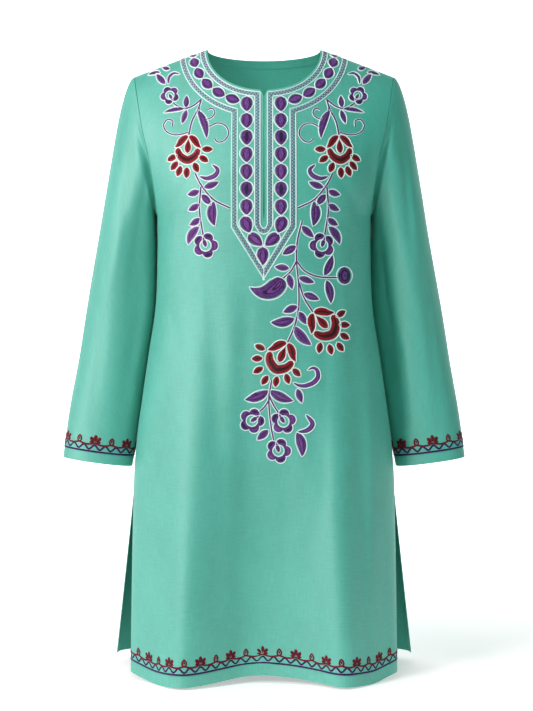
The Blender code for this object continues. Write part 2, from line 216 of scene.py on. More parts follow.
def fold_depth(folds, x, z):
    """What the large folds add to the depth, each growing from its start down to the hem."""
    total = 0.0
    for fold in folds:
        along = np.clip((fold.start - z) / (fold.start - HEM), 0.0, 2.0)
        middle = fold.x_start + (fold.x_hem - fold.x_start) * along
        away = (x - middle) / (fold.width * (0.75 + 0.25 * along))
        total = total + fold.height * ease(along) * np.exp(-away * away)
    return total


def crease_depth(creases, x, z):
    """What the soft creases add to the depth, each fading in and out along its run."""
    total = 0.0
    for crease in creases:
        run_x = crease.x_foot - crease.x_top
        run_z = crease.z_foot - crease.z_top
        length = math.hypot(run_x, run_z)
        along = ((x - crease.x_top) * run_x + (z - crease.z_top) * run_z) / length ** 2
        off = ((x - crease.x_top) * -run_z + (z - crease.z_top) * run_x) / length
        off = off - crease.bow * 4.0 * along * (1.0 - along)
        fade = ease(along / 0.35) * ease((1.0 - along) / 0.35)
        total = total + crease.height * fade * np.exp(-(off / crease.width) ** 2)
    return total


def unevenness(x, z):
    """The slight waviness of cloth that hangs, a fraction of a millimetre high."""
    return (0.35 * np.sin(x / 23.0 + 1.3 * np.sin(z / 61.0)) * np.sin(z / 47.0 + 0.6)
            + 0.22 * np.sin(x / 11.0 + z / 29.0 + 2.0 * np.sin(z / 83.0)))


PANELS = {"front": (FRONT_FOLDS, FRONT_CREASES, -1.0)}


def cloth_depth(side, x, z):
    """How far a panel stands from the plane of the side seams."""
    folds, creases, _ = PANELS[side]
    half = read(BODY, side + "_half", z)
    edge = np.maximum(read(BODY, side + "_edge", z), 0.0)
    full = read(BODY, side + "_depth", z)
    square = read(BODY, "square", z)
    across = np.minimum(np.abs(x) / half, 1.0)
    section = (1.0 - across ** square) ** (1.0 / square)
    fine = crease_depth(creases, x, z) + unevenness(x, z)
    rolled = shoulder_roll(x, z)
    return (edge + (full - edge) * section * rolled
            + (fold_depth(folds, x, z) + fine * rolled) * (1.0 - across ** 6))


def cloth_at(side, x, z):
    """Points of the middle of a panel's cloth, and the directions that face out there."""
    way = PANELS[side][2]
    x, z = np.asarray(x, float), np.asarray(z, float)
    step = 0.1
    inside = np.minimum(np.abs(x), read(BODY, side + "_half", z) - 2 * step)
    x_in = np.copysign(inside, x)
    z_in = np.minimum(z, shoulder_line(x_in) - 5 * step)
    slope_x = (cloth_depth(side, x_in + step, z_in) - cloth_depth(side, x_in - step, z_in)) / (2 * step)
    slope_z = (cloth_depth(side, x_in, z_in + step) - cloth_depth(side, x_in, z_in - step)) / (2 * step)
    at_seam = (np.abs(x) > inside) | (z > z_in)
    normal = np.stack([-slope_x, np.where(at_seam, 0.0, way), -slope_z], axis=-1)
    normal /= np.linalg.norm(normal, axis=-1, keepdims=True)
    point = np.stack([x, way * (cloth_depth(side, x, z) + SEAM_GAP / 2), z], axis=-1)
    return point, normal


NECK_COLUMNS = 20
SHOULDER_COLUMNS = 25
COLUMNS = NECK_COLUMNS + SHOULDER_COLUMNS
YOKE_ROWS = 46
BODY_ROWS = 80
SKIRT_ROWS = 54


def section_x(side, part, z):
    """Distance from the middle at a part, 0 to 1, of the way to the side seam."""
    square = read(BODY, "square", z)
    return read(BODY, side + "_half", z) * np.sin(part * math.pi / 2) ** (2.0 / square)


def neck_point(part, drop):
    """A point of the neckline, from the middle at 0 to the shoulder at 1."""
    across = np.sin(part * math.pi / 2) ** (2.0 / NECK_ROUNDNESS)
    down = np.maximum(np.cos(part * math.pi / 2), 0.0) ** (2.0 / NECK_ROUNDNESS)
    return NECK_HALF * across, -drop * down


def hem_drop(x):
    """How far the front hem hangs below its corners."""
    away = (np.abs(x) - HEM_RIDGE_X) / HEM_RIDGE_WIDTH
    aside = (np.abs(x) - HEM_SIDE_X) / HEM_SIDE_WIDTH
    return HEM_RIDGE_DROP * np.exp(-away * away) + HEM_SIDE_DROP * np.exp(-aside * aside)


def armhole_point(part):
    """A point of the armhole edge, from the armpit at 0 to the shoulder at 1."""
    z = ARMPIT - part * (ARMPIT + SHOULDER_DROP)
    return read(ARMHOLE, "half", z), z


def row_part(i):
    """Rows of the yoke are closer at both ends, where the cloth turns most."""
    return 0.5 - 0.5 * np.cos(math.pi * i / YOKE_ROWS)


def yoke_point(side, across, up):
    """Places on half a panel above the armpits, filled in from its four edges."""
    drop = FRONT_NECK_DROP if side == "front" else BACK_NECK_DROP
    split = NECK_COLUMNS / COLUMNS
    neck_x, neck_z = neck_point(np.minimum(across / split, 1.0), drop)
    shoulder_x = NECK_HALF + (SHOULDER_HALF - NECK_HALF) * np.maximum(across - split, 0.0) / (1.0 - split)
    at_neck = across < split
    top = (np.where(at_neck, neck_x, shoulder_x), np.where(at_neck, neck_z, shoulder_line(shoulder_x)))
    bottom = (section_x(side, across, ARMPIT), ARMPIT)
    middle = (0.0, ARMPIT + (-drop - ARMPIT) * up)
    outer = armhole_point(up)
    corners = ((0.0, ARMPIT), (0.0, -drop), (read(BODY, side + "_half", ARMPIT), ARMPIT),
               (SHOULDER_HALF, shoulder_line(SHOULDER_HALF)))
    place = []
    for k in range(2):
        rows = (1 - up) * bottom[k] + up * top[k]
        columns = (1 - across) * middle[k] + across * outer[k]
        blend = ((1 - up) * ((1 - across) * corners[0][k] + across * corners[2][k])
                 + up * ((1 - across) * corners[1][k] + across * corners[3][k]))
        place.append(rows + columns - blend)
    return place[0], np.minimum(place[1], shoulder_line(place[0]))


def notch(z):
    """Half the width of the placket's cut at a height."""
    open_part = 1.0 - (-FRONT_NECK_DROP - z) / NOTCH_DEPTH
    return PLACKET_HALF_GAP + (NOTCH_HALF_WIDTH - PLACKET_HALF_GAP) * np.maximum(open_part, 0.0)


def thin_wall(name, points, normals, faces, threads, thickness, materials):
    """A closed wall of even thickness from the points of its middle, in millimetres.

    threads gives each point's place along the weft and the warp, for the weave.  The outside
    takes the first material and the inside the last.
    """
    half = thickness / 2
    count = len(points)
    both = np.concatenate([points + normals * half, points - normals * half]) * MM
    used = {(face[k], face[(k + 1) % 4]) for face in faces for k in range(4)}
    rims = sorted((b, a, a + count, b + count) for a, b in used if (b, a) not in used)
    inner = [tuple(i + count for i in reversed(face)) for face in faces]
    mesh = bpy.data.meshes.new(name)
    mesh.from_pydata(both.tolist(), [], list(faces) + inner + rims)
    for material in materials:
        mesh.materials.append(material)
    sides = [0] * len(faces) + [len(materials) - 1] * len(inner) + [0] * len(rims)
    mesh.polygons.foreach_set("material_index", sides)
    work = bmesh.new()
    work.from_mesh(mesh)
    bmesh.ops.recalc_face_normals(work, faces=work.faces)
    work.to_mesh(mesh)
    work.free()
    layer = mesh.uv_layers.new(name="threads")
    corners = np.empty(len(mesh.loops), int)
    mesh.loops.foreach_get("vertex_index", corners)
    layer.data.foreach_set("uv", (np.concatenate([threads, threads]) * MM)[corners].ravel())
    mesh.shade_smooth()
    mesh.set_sharp_from_angle(angle=math.radians(50))
    return put(name, mesh)


def panel_rows(side):
    """Places of half a panel's grid, from the hem up: rows by columns, x and z."""
    across = np.arange(COLUMNS + 1) / COLUMNS
    rows = []
    heights = np.concatenate([
        SLIT_TOP + (HEM - SLIT_TOP) * np.arange(SKIRT_ROWS, 0, -1) / SKIRT_ROWS,
        PLACKET_END + (SLIT_TOP - PLACKET_END) * np.arange(BODY_ROWS, -1, -1) / BODY_ROWS])
    for z in heights:
        x = section_x(side, across, z)
        level = np.full(COLUMNS + 1, z)
        if side == "front":
            level -= hem_drop(x) * ease((SLIT_TOP - z) / (SLIT_TOP - HEM))
        rows.append((x, level))
    for i in range(YOKE_ROWS + 1):
        rows.append(yoke_point(side, across, row_part(i)))
    return np.array(rows)


def make_panel(side, name, materials):
    """A panel as a thin wall, cut open down the placket if it is the front one."""
    rows = panel_rows(side)
    count = len(rows)
    cut_from = SKIRT_ROWS + BODY_ROWS + 1
    x, z = rows[:, 0, :], rows[:, 1, :]
    grids = []
    for way in (1.0, -1.0):
        gx = x * way
        gz = z.copy()
        if side == "front":
            gx[cut_from:, 0] = way * notch(gz[cut_from:, 0])
        point, normal = cloth_at(side, gx, gz)
        threads = np.stack([run_length(point, 1) * way, run_length(point)], axis=-1)
        grids.append((point, normal, threads))
    size = COLUMNS + 1
    points = np.concatenate([g[0].reshape(-1, 3) for g in grids])
    normals = np.concatenate([g[1].reshape(-1, 3) for g in grids])
    threads = np.concatenate([g[2].reshape(-1, 2) for g in grids])

    def at(r, c, half):
        if half and c == 0 and (side == "back" or r < cut_from):
            half = 0
        return half * count * size + r * size + c

    faces = []
    for half in (0, 1):
        for r in range(count - 1):
            for c in range(COLUMNS):
                face = (at(r, c, half), at(r, c + 1, half), at(r + 1, c + 1, half), at(r + 1, c, half))
                faces.append(face if (half == 0) == (side == "front") else tuple(reversed(face)))
    used = np.unique(np.array(faces))
    order = np.full(len(points), -1)
    order[used] = np.arange(len(used))
    faces = [tuple(order[list(face)].tolist()) for face in faces]
    return thin_wall(name, points[used], normals[used], faces, threads[used], SHELL, materials)


class Shade:
    """One socket of a material's nodes.  Arithmetic on it adds Math nodes."""

    def __init__(self, tree, socket=None):
        self.tree = tree
        self.socket = socket

    def node(self, kind, settings=None, inputs=None, out=0):
        """Any node: its settings are set first, then its sockets' values or links."""
        made = self.tree.nodes.new(kind)
        for key, value in (settings or {}).items():
            if key == "stops":
                ramp = made.color_ramp
                ramp.elements[0].position, ramp.elements[0].color = value[0]
                ramp.elements[1].position, ramp.elements[1].color = value[-1]
                for place, colour in value[1:-1]:
                    ramp.elements.new(place).color = colour
            else:
                setattr(made, key, value)
        for key, value in (inputs or {}).items():
            if isinstance(value, Shade):
                self.tree.links.new(value.socket, made.inputs[key])
            else:
                made.inputs[key].default_value = value
        return Shade(self.tree, made.outputs[out])

    def math(self, operation, a, b=0.0):
        return self.node("ShaderNodeMath", {"operation": operation}, {0: a, 1: b})

    def mix(self, factor, a, b):
        """Mix two colours, given as red, green and blue."""
        return self.node("ShaderNodeMix", {"data_type": "RGBA", "clamp_factor": True},
                         {0: factor, 6: (*a, 1.0), 7: (*b, 1.0)}, out=2)

    def __add__(self, other):
        return self.math("ADD", self, other)

    __radd__ = __add__

    def __sub__(self, other):
        return self.math("SUBTRACT", self, other)

    def __rsub__(self, other):
        return self.math("SUBTRACT", other, self)

    def __mul__(self, other):
        return self.math("MULTIPLY", self, other)

    __rmul__ = __mul__


def new_material(name, roughness, sheen=0.0, ior=1.4):
    """A material with its shader and a Shade to build on."""
    material = bpy.data.materials.new(name)
    material.use_nodes = True
    surface = material.node_tree.nodes["Principled BSDF"]
    surface.inputs["Roughness"].default_value = roughness
    surface.inputs["Sheen Weight"].default_value = sheen
    surface.inputs["Sheen Roughness"].default_value = 0.5
    surface.inputs["IOR"].default_value = ior
    return material, surface, Shade(material.node_tree)


def feed(surface, name, value):
    """Link what varies over a surface to a socket of its shader."""
    surface.id_data.links.new(value.socket, surface.inputs[name])


# How many streaks of each kind there are to a metre, across them and along them.
SLUB_ACROSS, SLUB_ALONG = 900.0, 45.0
YARN_ACROSS, YARN_ALONG = 2600.0, 700.0
CLOUDS_WEFT, CLOUDS_WARP = 16.0, 11.0
WEAVE_HEIGHT = 0.0004


def cotton(name, light, dark, slub_depth, sheen, ior):
    """Plain woven cotton: slubs run along weft and warp, over fine crossing threads."""
    material, surface, shade = new_material(name, 0.6, sheen, ior)
    threads = shade.node("ShaderNodeUVMap", {"uv_map": "threads"})
    parts = shade.node("ShaderNodeSeparateXYZ", inputs={0: threads})
    weft = Shade(shade.tree, parts.socket.node.outputs[0])
    warp = Shade(shade.tree, parts.socket.node.outputs[1])

    def slubs(to_weft, to_warp, seed):
        """Streaks that are thin one way and long the other, from 0 to 1."""
        place = shade.node("ShaderNodeCombineXYZ", inputs={0: weft * to_weft, 1: warp * to_warp, 2: seed})
        return shade.node("ShaderNodeTexNoise", {"noise_dimensions": "3D"},
                          {"Vector": place, "Scale": 1.0, "Detail": 2.0, "Roughness": 0.6})

    weft_slubs = slubs(SLUB_ALONG, SLUB_ACROSS, 3.0)
    warp_slubs = slubs(SLUB_ACROSS, SLUB_ALONG, 8.0)
    clouds = slubs(CLOUDS_WEFT, CLOUDS_WARP, 1.0)
    yarn = (slubs(YARN_ACROSS, YARN_ALONG, 5.0) + slubs(YARN_ALONG, YARN_ACROSS, 6.0)) * 0.5
    streaks = (weft_slubs + warp_slubs) * 0.5
    tone = (streaks - 0.5) * 3.0 + (clouds - 0.5) * 0.9 + (yarn - 0.5) * 0.8 + 0.5
    feed(surface, "Base Color", shade.mix(tone, dark, light))
    height = streaks * 0.6 + yarn * 0.7
    bump = shade.node("ShaderNodeBump",
                      inputs={"Strength": slub_depth, "Distance": WEAVE_HEIGHT, "Height": height})
    feed(surface, "Normal", bump)
    feed(surface, "Roughness", 0.58 + tone * 0.08)
    return material


COTTON_LIGHT = (0.07, 0.50, 0.40)
COTTON_DARK = (0.03, 0.375, 0.285)
# The inside colours are partly the duller wrong side of the cloth and partly painted shade: set darker than
# the outside so that the inside seen through the slits and the neck reads as shaded.
INSIDE_SHADED_LIGHT = (0.065, 0.42, 0.33)
INSIDE_SHADED_DARK = (0.045, 0.35, 0.265)
mint_cotton = cotton("mint_cotton", COTTON_LIGHT, COTTON_DARK, 0.5, 0.12, 2.6)
mint_cotton_inside_shaded = cotton("mint_cotton_inside_shaded", INSIDE_SHADED_LIGHT, INSIDE_SHADED_DARK, 0.4, 0.0, 1.5)

front_cloth = make_panel("front", "front_cloth", [mint_cotton, mint_cotton_inside_shaded])
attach(front_cloth, "root")
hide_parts("front_panel")


# Back panel: the same cotton in one length, a little wider at the hem and higher at the neck.
# It is sewn to the front at the shoulders and side seams, and hangs open below the slits.
BACK_FOLDS = [
    Fold(-400, -112, -138, 44, 26),
    Fold(-430, 4, -6, 40, 20),
    Fold(-400, 108, 134, 42, 28),
    Fold(-330, -58, -66, 26, -8),
    Fold(-350, 54, 62, 28, -7),
]
BACK_CREASES = [
    Crease(-84, -300, -96, -1050, -4, 16, -4.5),
    Crease(-30, -330, -34, -840, 3, 14, 2.6),
    Crease(36, -420, 30, -1080, 4, 18, 3.6),
    Crease(86, -350, 92, -960, 3, 13, -4),
    Crease(140, -400, 160, -1040, 4, 12, -3.2),
    Crease(-136, -420, -158, -1000, -4, 12, -2.8),
    Crease(-146, -250, -70, -150, 8, 10, -2.6),
    Crease(-149, -280, -60, -214, 6, 9, -1.9),
    Crease(145, -246, 78, -160, -7, 10, -2.4),
    Crease(150, -286, 66, -226, -6, 9, -2.1),
    Crease(-120, -320, -30, -306, -6, 9, 1.8),
    Crease(118, -330, 24, -318, 6, 10, 1.7),
    Crease(-60, -84, -132, -168, 5, 12, -1.6),
    Crease(64, -90, 134, -180, -5, 12, -1.5),
]
PANELS["back"] = (BACK_FOLDS, BACK_CREASES, 1.0)

back_cloth = make_panel("back", "back_cloth", [mint_cotton, mint_cotton_inside_shaded])
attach(back_cloth, "root")
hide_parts("back_panel")


# Sleeves: two long sleeves of the same cotton, each one piece closed by a seam under the arm.
# They are set into the armholes and widen a little towards the cuff, which is turned and sewn.
Ring = namedtuple("Ring", "z inner outer half_depth middle")
SLEEVE = [
    Ring(-290, 156.5, 248, 60, 26),
    Ring(-374, 159, 264, 57, 34),
    Ring(-461, 172.5, 278, 51, 34),
    Ring(-544, 186, 292, 43, 26),
    Ring(-608.5, 197, 300, 35, 15),
]
SLEEVE_TILT = math.radians(7.6)
SLEEVE_ROUNDNESS = 2.2
CAP_ROWS = 34
ARM_ROWS = 80
# How the cloth leaves the armhole and enters the arm, at the top, side and bottom of the hole.
CAP_START = (21.0, 12.0, 18.0)
CAP_END = (112.0, 70.0, 20.0)
CAP_ROOM = (0.0, 0.0, 3.0)
CAP_BACK = (0.0, 0.0, 20.0)
CAP_UNDER = (0.0, 0.0, 0.5)
CAP_GAP = (0.8, 0.7, 0.6)
# The cloth dips beside the seam, most on the lower half of the armhole and on the front.
GROOVE_DEPTH = 12.0
BACK_GROOVE = 0.3
GROOVE_PLACE = 9.0
GROOVE_WIDTH = 8.0
# By the turn round the armhole, 0 at the top and 1 in the armpit, and how many rows of the grid
# the creases take to fade in and out.
GROOVE_START, GROOVE_RISE = 0.25, 0.45
GROOVE_END, GROOVE_FALL = 0.82, 0.1
FADE_IN_ROWS, FADE_OUT_ROWS = 12.0, 8.0
# Long soft folds, by the angle round the arm from its outer side towards the front.
SleeveFold = namedtuple("SleeveFold", "start end angle_start angle_end width height")
SLEEVE_FOLDS = [
    SleeveFold(-190, -600, 118, 128, 20, -5),
    SleeveFold(-230, -560, 78, 84, 24, 3),
    SleeveFold(-260, -520, -70, -95, 22, -4),
]
LEFT_CREASES = [
    SleeveFold(-70, -250, 70, 112, 9, -3),
    SleeveFold(-110, -330, 46, 88, 9, -2.2),
    SleeveFold(-180, -420, 100, 74, 10, 2.4),
    SleeveFold(-250, -470, 140, 118, 9, -2.6),
    SleeveFold(-330, -560, 58, 70, 10, -1.8),
    SleeveFold(-380, -575, 96, 108, 8, 1.6),
    SleeveFold(-150, -360, -60, -100, 12, -3),
    SleeveFold(-300, -540, -120, -84, 11, 2.2),
    SleeveFold(-220, -480, 8, -14, 12, -1.6),
    SleeveFold(-230, -600, 142, 142, 20, -6),
]
RIGHT_CREASES = [
    SleeveFold(-76, -230, 84, 120, 8, -2.6),
    SleeveFold(-130, -310, 60, 96, 10, -2),
    SleeveFold(-200, -450, 112, 96, 11, -2.4),
    SleeveFold(-210, -400, 86, 68, 10, 2),
    SleeveFold(-360, -570, 66, 78, 9, -1.6),
    SleeveFold(-160, -380, -66, -96, 12, -2.6),
    SleeveFold(-320, -560, -110, -90, 10, 2),
    SleeveFold(-240, -500, -10, 10, 12, -1.4),
    SleeveFold(-230, -580, 137, 134, 16, 4),
]


def fold_push(folds, angle, z):
    """How far the sleeve's folds push its cloth outwards."""
    push = 0.0
    degrees = np.degrees(angle)
    for fold in folds:
        along = np.clip((fold.start - z) / (fold.start - fold.end), 0.0, 1.0)
        middle = fold.angle_start + (fold.angle_end - fold.angle_start) * along
        away = (degrees - middle) / fold.width
        push = push + fold.height * np.sin(math.pi * along) * np.exp(-away * away)
    return push


def sleeve_ring(z, angle):
    """Points of the middle of the sleeve's cloth below the cap, by their angle from outside."""
    z, angle = np.broadcast_arrays(np.asarray(z, float), np.asarray(angle, float))
    inner = read(SLEEVE, "inner", z)
    outer = read(SLEEVE, "outer", z)
    power = 2.0 / SLEEVE_ROUNDNESS
    across = np.copysign(np.abs(np.cos(angle)) ** power, np.cos(angle))
    round_part = np.copysign(np.abs(np.sin(angle)) ** power, np.sin(angle))
    half = (outer - inner) / 2
    push = fold_push(SLEEVE_FOLDS, angle, z)
    x = (inner + outer) / 2 + (half + push) * across * math.cos(SLEEVE_TILT)
    y = read(SLEEVE, "middle", z) - (read(SLEEVE, "half_depth", z) + push) * round_part
    return np.stack([x, y, z + half * across * math.sin(SLEEVE_TILT)], axis=-1)


def by_turn(values, turn):
    """Blend the top, side and bottom values by the turn round the armhole, 0 at the top."""
    if turn < 0.5:
        return values[0] + (values[1] - values[0]) * ease(2 * turn)
    return values[1] + (values[2] - values[1]) * ease(2 * turn - 1)


def unit(v):
    """Directions made one long."""
    return v / np.linalg.norm(v, axis=-1, keepdims=True)


def armhole_loop():
    """The armhole edge as a loop of points and normals: top, front, armpit, back."""
    edges, directions, sides = [], [], []
    for side, steps in (("front", range(YOKE_ROWS, 0, -1)), ("back", range(0, YOKE_ROWS))):
        for i in steps:
            x, z = armhole_point(row_part(i))
            point, normal = cloth_at(side, x, z)
            if i in (0, YOKE_ROWS):
                point[1] = 0.0
            edges.append(point)
            directions.append(normal)
            sides.append(side)
    return np.array(edges), np.array(directions), sides


def make_sleeve(name, way, creases, materials):
    """A sleeve as a thin wall: smooth lines from the armhole down to the cuff, all round."""
    edges, directions, sides = armhole_loop()
    count = len(edges)
    run = run_length(np.vstack([edges, edges[:1]]))
    half_run = run[YOKE_ROWS]
    lines, angles, turns = [], [], []
    for i in range(count):
        tangent = edges[(i + 1) % count] - edges[i - 1]
        front = sides[i] == "front"
        turn = run[i] / half_run if front else 1.0 - (run[i] - half_run) / (run[count] - half_run)
        angle = math.pi * turn * (1 if front else -1)
        if i == YOKE_ROWS:
            angle = math.pi
            directions[i] = (1.0, 0.0, 0.0)
        leave = unit(np.cross(unit(directions[i]), unit(tangent)))
        start = edges[i] + leave * by_turn(CAP_GAP, turn)
        first = sleeve_ring(SLEEVE[0].z, angle)
        enter = unit(sleeve_ring(SLEEVE[0].z - 5.0, angle) - first)
        knots = [start, start + leave * by_turn(CAP_START, turn),
                 first - enter * by_turn(CAP_END, turn), first]
        knots[1][0] += by_turn(CAP_ROOM, turn) / 2
        knots[1][1] += by_turn(CAP_BACK, turn)
        knots[2][0] += by_turn(CAP_ROOM, turn)
        knots[2][1] += by_turn(CAP_UNDER, turn) * (start[1] - first[1])
        t = (np.arange(CAP_ROWS) / CAP_ROWS)[:, None]
        t = t * (0.6 + 0.4 * t)
        cap = ((1 - t) ** 3 * knots[0] + 3 * t * (1 - t) ** 2 * knots[1]
               + 3 * t * t * (1 - t) * knots[2] + t ** 3 * knots[3])
        heights = np.linspace(SLEEVE[0].z, SLEEVE[-1].z, ARM_ROWS + 1)
        lines.append(np.concatenate([cap, sleeve_ring(heights, angle)]))
        angles.append(angle)
        turns.append(turn)
    points = np.array(lines).transpose(1, 0, 2)
    rows = len(points)
    down = np.empty_like(points)
    down[1:-1] = points[2:] - points[:-2]
    down[0], down[-1] = points[1] - points[0], points[-1] - points[-2]
    around = np.roll(points, -1, axis=1) - np.roll(points, 1, axis=1)
    normals = -unit(np.cross(unit(down), unit(around)))
    normals[0] = unit(directions)
    angle = np.array(angles)[None, :]
    z = points[..., 2]
    row = np.arange(rows)[:, None]
    fade = ease((row - 1) / FADE_IN_ROWS) * ease((rows - 1 - row) / FADE_OUT_ROWS)
    soft = fold_push(creases, angle, z) + 0.5 * unevenness(angle * 60.0, z) * np.cos(angle / 2) ** 2
    along = run_length(points)
    turns = np.array(turns)[None, :]
    groove = GROOVE_DEPTH * ease((turns - GROOVE_START) / GROOVE_RISE)
    groove = groove * (1.0 - ease((turns - GROOVE_END) / GROOVE_FALL))
    groove = groove * np.where(angle > 0, 1.0, BACK_GROOVE)
    groove = groove * np.exp(-((along - GROOVE_PLACE) / GROOVE_WIDTH) ** 2) * ease(along / GROOVE_PLACE)
    points = points + normals * (soft * fade - groove)[..., None]
    threads = np.stack([run_length(points, 1), run_length(points)], axis=-1).reshape(-1, 2)
    points[..., 0] *= way
    normals[..., 0] *= way
    faces = []
    for r in range(rows - 1):
        for i in range(count):
            j = (i + 1) % count
            face = (r * count + i, r * count + j, (r + 1) * count + j, (r + 1) * count + i)
            faces.append(face if way > 0 else tuple(reversed(face)))
    return thin_wall(name, points.reshape(-1, 3), normals.reshape(-1, 3), faces, threads, SHELL, materials)


for name, way, creases in (("sleeve_left", 1.0, LEFT_CREASES), ("sleeve_right", -1.0, RIGHT_CREASES)):
    sleeve_cloth = make_sleeve(name + "_cloth", way, creases, [mint_cotton, mint_cotton_inside_shaded])
    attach(sleeve_cloth, "root")
    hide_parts(name)


# Neck finish: a narrow strip of the same cotton, sewn inside the back neckline to cover its raw
# edge.  It is made from the back panel's own places, moved in, and stops at the shoulder seams.
FACING = 0.8
FACING_GAP = 0.6
# Its depth is a share of the way down to the armpits, and its length a share of the neckline.
FACING_DEPTH = 0.043
FACING_REACH = 0.97
FACING_ROWS = 6
# It is cut from another place in the cloth, so its slubs don't run on from the panel's.
FACING_WEFT_SHIFT = 500.0

facing_across = np.linspace(-FACING_REACH, FACING_REACH, 2 * NECK_COLUMNS + 1) * NECK_COLUMNS / COLUMNS
facing_rows = []
for up in np.linspace(1.0, 1.0 - FACING_DEPTH, FACING_ROWS + 1):
    x, z = yoke_point("back", np.abs(facing_across), up)
    facing_rows.append(cloth_at("back", np.copysign(x, facing_across), z))
facing_points = np.array([row[0] - row[1] * ((SHELL + FACING) / 2 + FACING_GAP) for row in facing_rows])
facing_normals = np.array([row[1] for row in facing_rows])
facing_threads = facing_points[..., [0, 2]] + np.array([FACING_WEFT_SHIFT, 0.0])
span = facing_points.shape[1]
facing_faces = [(r * span + c, r * span + c + 1, (r + 1) * span + c + 1, (r + 1) * span + c)
                for r in range(len(facing_rows) - 1) for c in range(span - 1)]
neck_strip = thin_wall("neck_strip", facing_points.reshape(-1, 3), facing_normals.reshape(-1, 3),
                       facing_faces, facing_threads.reshape(-1, 2), FACING, [mint_cotton_inside_shaded])
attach(neck_strip, "root")
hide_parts("neck_facing")


# Neck and placket border: white cord couched in lines, mauve and pale blue zigzags between the
# cords, and a chain of purple satin medallions.  It is worked on the front before it is sewn up.
# Places on the cloth are x from the centre line and z from the shoulder line, in millimetres.
CORD = 1.9
CORD_HEIGHT = 0.9
CORD_STEP = 2.4
SUNK = 0.3
SATIN_HEIGHT = 0.8
CORD_LIFT = 0.1
# A cord runs a little outside the shape that it goes round.
EDGE_MARGIN = 0.3
# Keeps the direction of a line defined where two of its points are in one place.
TINY = 1e-9
COLUMN_X = 24.3
COLUMN_TOP = -88.0
COLUMN_STEP = 24.8
COLUMN_COUNT = 8
MEDALLION_LENGTH = 23.2
MEDALLION_WIDTH = 18.4
LAST_LEAN = 4.5
NECK_MEDALLION_LENGTH = 23.0
NECK_MEDALLION_WIDTH = 15.4
NECK_MEDALLION_GAP = 1.2
NECK_MEDALLION_START = 34.5
TIP_MEDALLION_WIDTH = 17.4
# How a medallion's ends are drawn: the lower the value, the rounder the end.
ROUND_END, SHARP_END = 0.5, 0.72
EDGE_TO_SLIT = 1.6
NECK_NARROWING = 0.93
SEAM_CLEARANCE = 0.4
ZIGZAG_STEP = 2.4
BLUE_REACH, BLUE_HALF_WIDTH = 1.7, 0.55
MAUVE_REACH, MAUVE_HALF_WIDTH = 1.8, 0.85
# Each line of the border: how far from the slit it runs, where it turns in, its lowest tip, and
# how much of its drop it has made half way in, which is more for the rounded ends.
Line = namedtuple("Line", "offset turn tip belly")
INNER_CORDS = [Line(5.2, -261.0, -267.0, 0.85), Line(12.8, -262.5, -275.0, 0.82)]
INNER_ZIGZAG = Line(9.0, -261.5, -271.0, 0.83)
OUTER_CORDS = [Line(37.4, -262.0, -323.0, 0.5), Line(45.5, -265.5, -338.0, 0.5)]
OUTER_ZIGZAG = Line(41.4, -263.5, -330.5, 0.5)


def headings(line, closed=False):
    """The direction of a line at each of its points, and the direction to the left of it."""
    if closed:
        ahead, behind = np.roll(line, -1, axis=0), np.roll(line, 1, axis=0)
    else:
        ahead, behind = np.vstack([line[1:], line[-1:]]), np.vstack([line[:1], line[:-1]])
    way = unit(ahead - behind + TINY)
    return way, np.stack([-way[:, 1], way[:, 0]], axis=1)


class Needlework:
    """Bands of thread laid on a cloth, gathered up to become one mesh."""

    def __init__(self):
        self.places, self.lifts, self.faces, self.marks = [], [], [], []
        self.count = 0

    def band(self, line, half_width, height, lift=0.0, closed=False, across=4, sunk=SUNK):
        """A band along a line, rounded in section, with its edges sunk into what it lies on."""
        line = np.asarray(line, float)
        count = len(line)
        side = headings(line, closed)[1]
        half = np.broadcast_to(half_width, (count,))
        place = np.linspace(-1.0, 1.0, across + 1)
        rise = np.sqrt(1.0 - place * place)[None, :] * np.sqrt(half / half.max())[:, None] * height
        run = run_length(line)
        spread = side[:, None] * (half[:, None] * place)[..., None]
        self.places.append((line[:, None] + spread).reshape(-1, 2))
        self.lifts.append((lift + rise - sunk * (np.abs(place) == 1.0)).ravel())
        seed = 0.37 * len(self.marks)
        marks = np.stack(np.broadcast_arrays(run[:, None] * MM + seed, (place * 0.5 + 0.5)[None, :]), axis=-1)
        self.marks.append(marks.reshape(-1, 2))
        wide = across + 1
        r = np.arange(count if closed else count - 1)[:, None]
        c = np.arange(across)[None, :]
        near, far = r * wide + c, (r + 1) % count * wide + c
        quads = np.stack([near, near + 1, far + 1, far], axis=-1).reshape(-1, 4)
        self.faces.append(quads + self.count)
        self.count += count * wide

    def make(self, name, surface, material, slot):
        """Lay the bands on a surface, which turns places into points and normals."""
        places, marks = np.concatenate(self.places), np.concatenate(self.marks)
        faces = np.concatenate(self.faces)
        points, normals = surface(places[:, 0], places[:, 1])
        points = points + normals * (SHELL / 2 + np.concatenate(self.lifts))[:, None]
        corners = points[faces]
        facing = np.cross(corners[:, 2] - corners[:, 0], corners[:, 3] - corners[:, 1])
        away = np.einsum("ij,ij->i", facing, normals[faces[:, 0]]) < 0
        faces[away] = faces[away][:, ::-1]
        mesh = bpy.data.meshes.new(name)
        mesh.from_pydata((points * MM).tolist(), [], faces.tolist())
        layer = mesh.uv_layers.new(name="stitches")
        order = np.empty(len(mesh.loops), int)
        mesh.loops.foreach_get("vertex_index", order)
        layer.data.foreach_set("uv", marks[order].ravel())
        mesh.shade_smooth()
        mesh.materials.append(material)
        piece = put(name, mesh)
        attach(piece, "root")


def points_at(at, run, line):
    """The points of a line at given distances along it."""
    return np.stack([np.interp(at, run, line[:, k]) for k in range(2)], axis=1)


def spaced(line, step):
    """The same line with its points a step apart."""
    line = np.asarray(line, float)
    run = run_length(line)
    return points_at(np.linspace(0.0, run[-1], max(int(round(run[-1] / step)), 2) + 1), run, line)


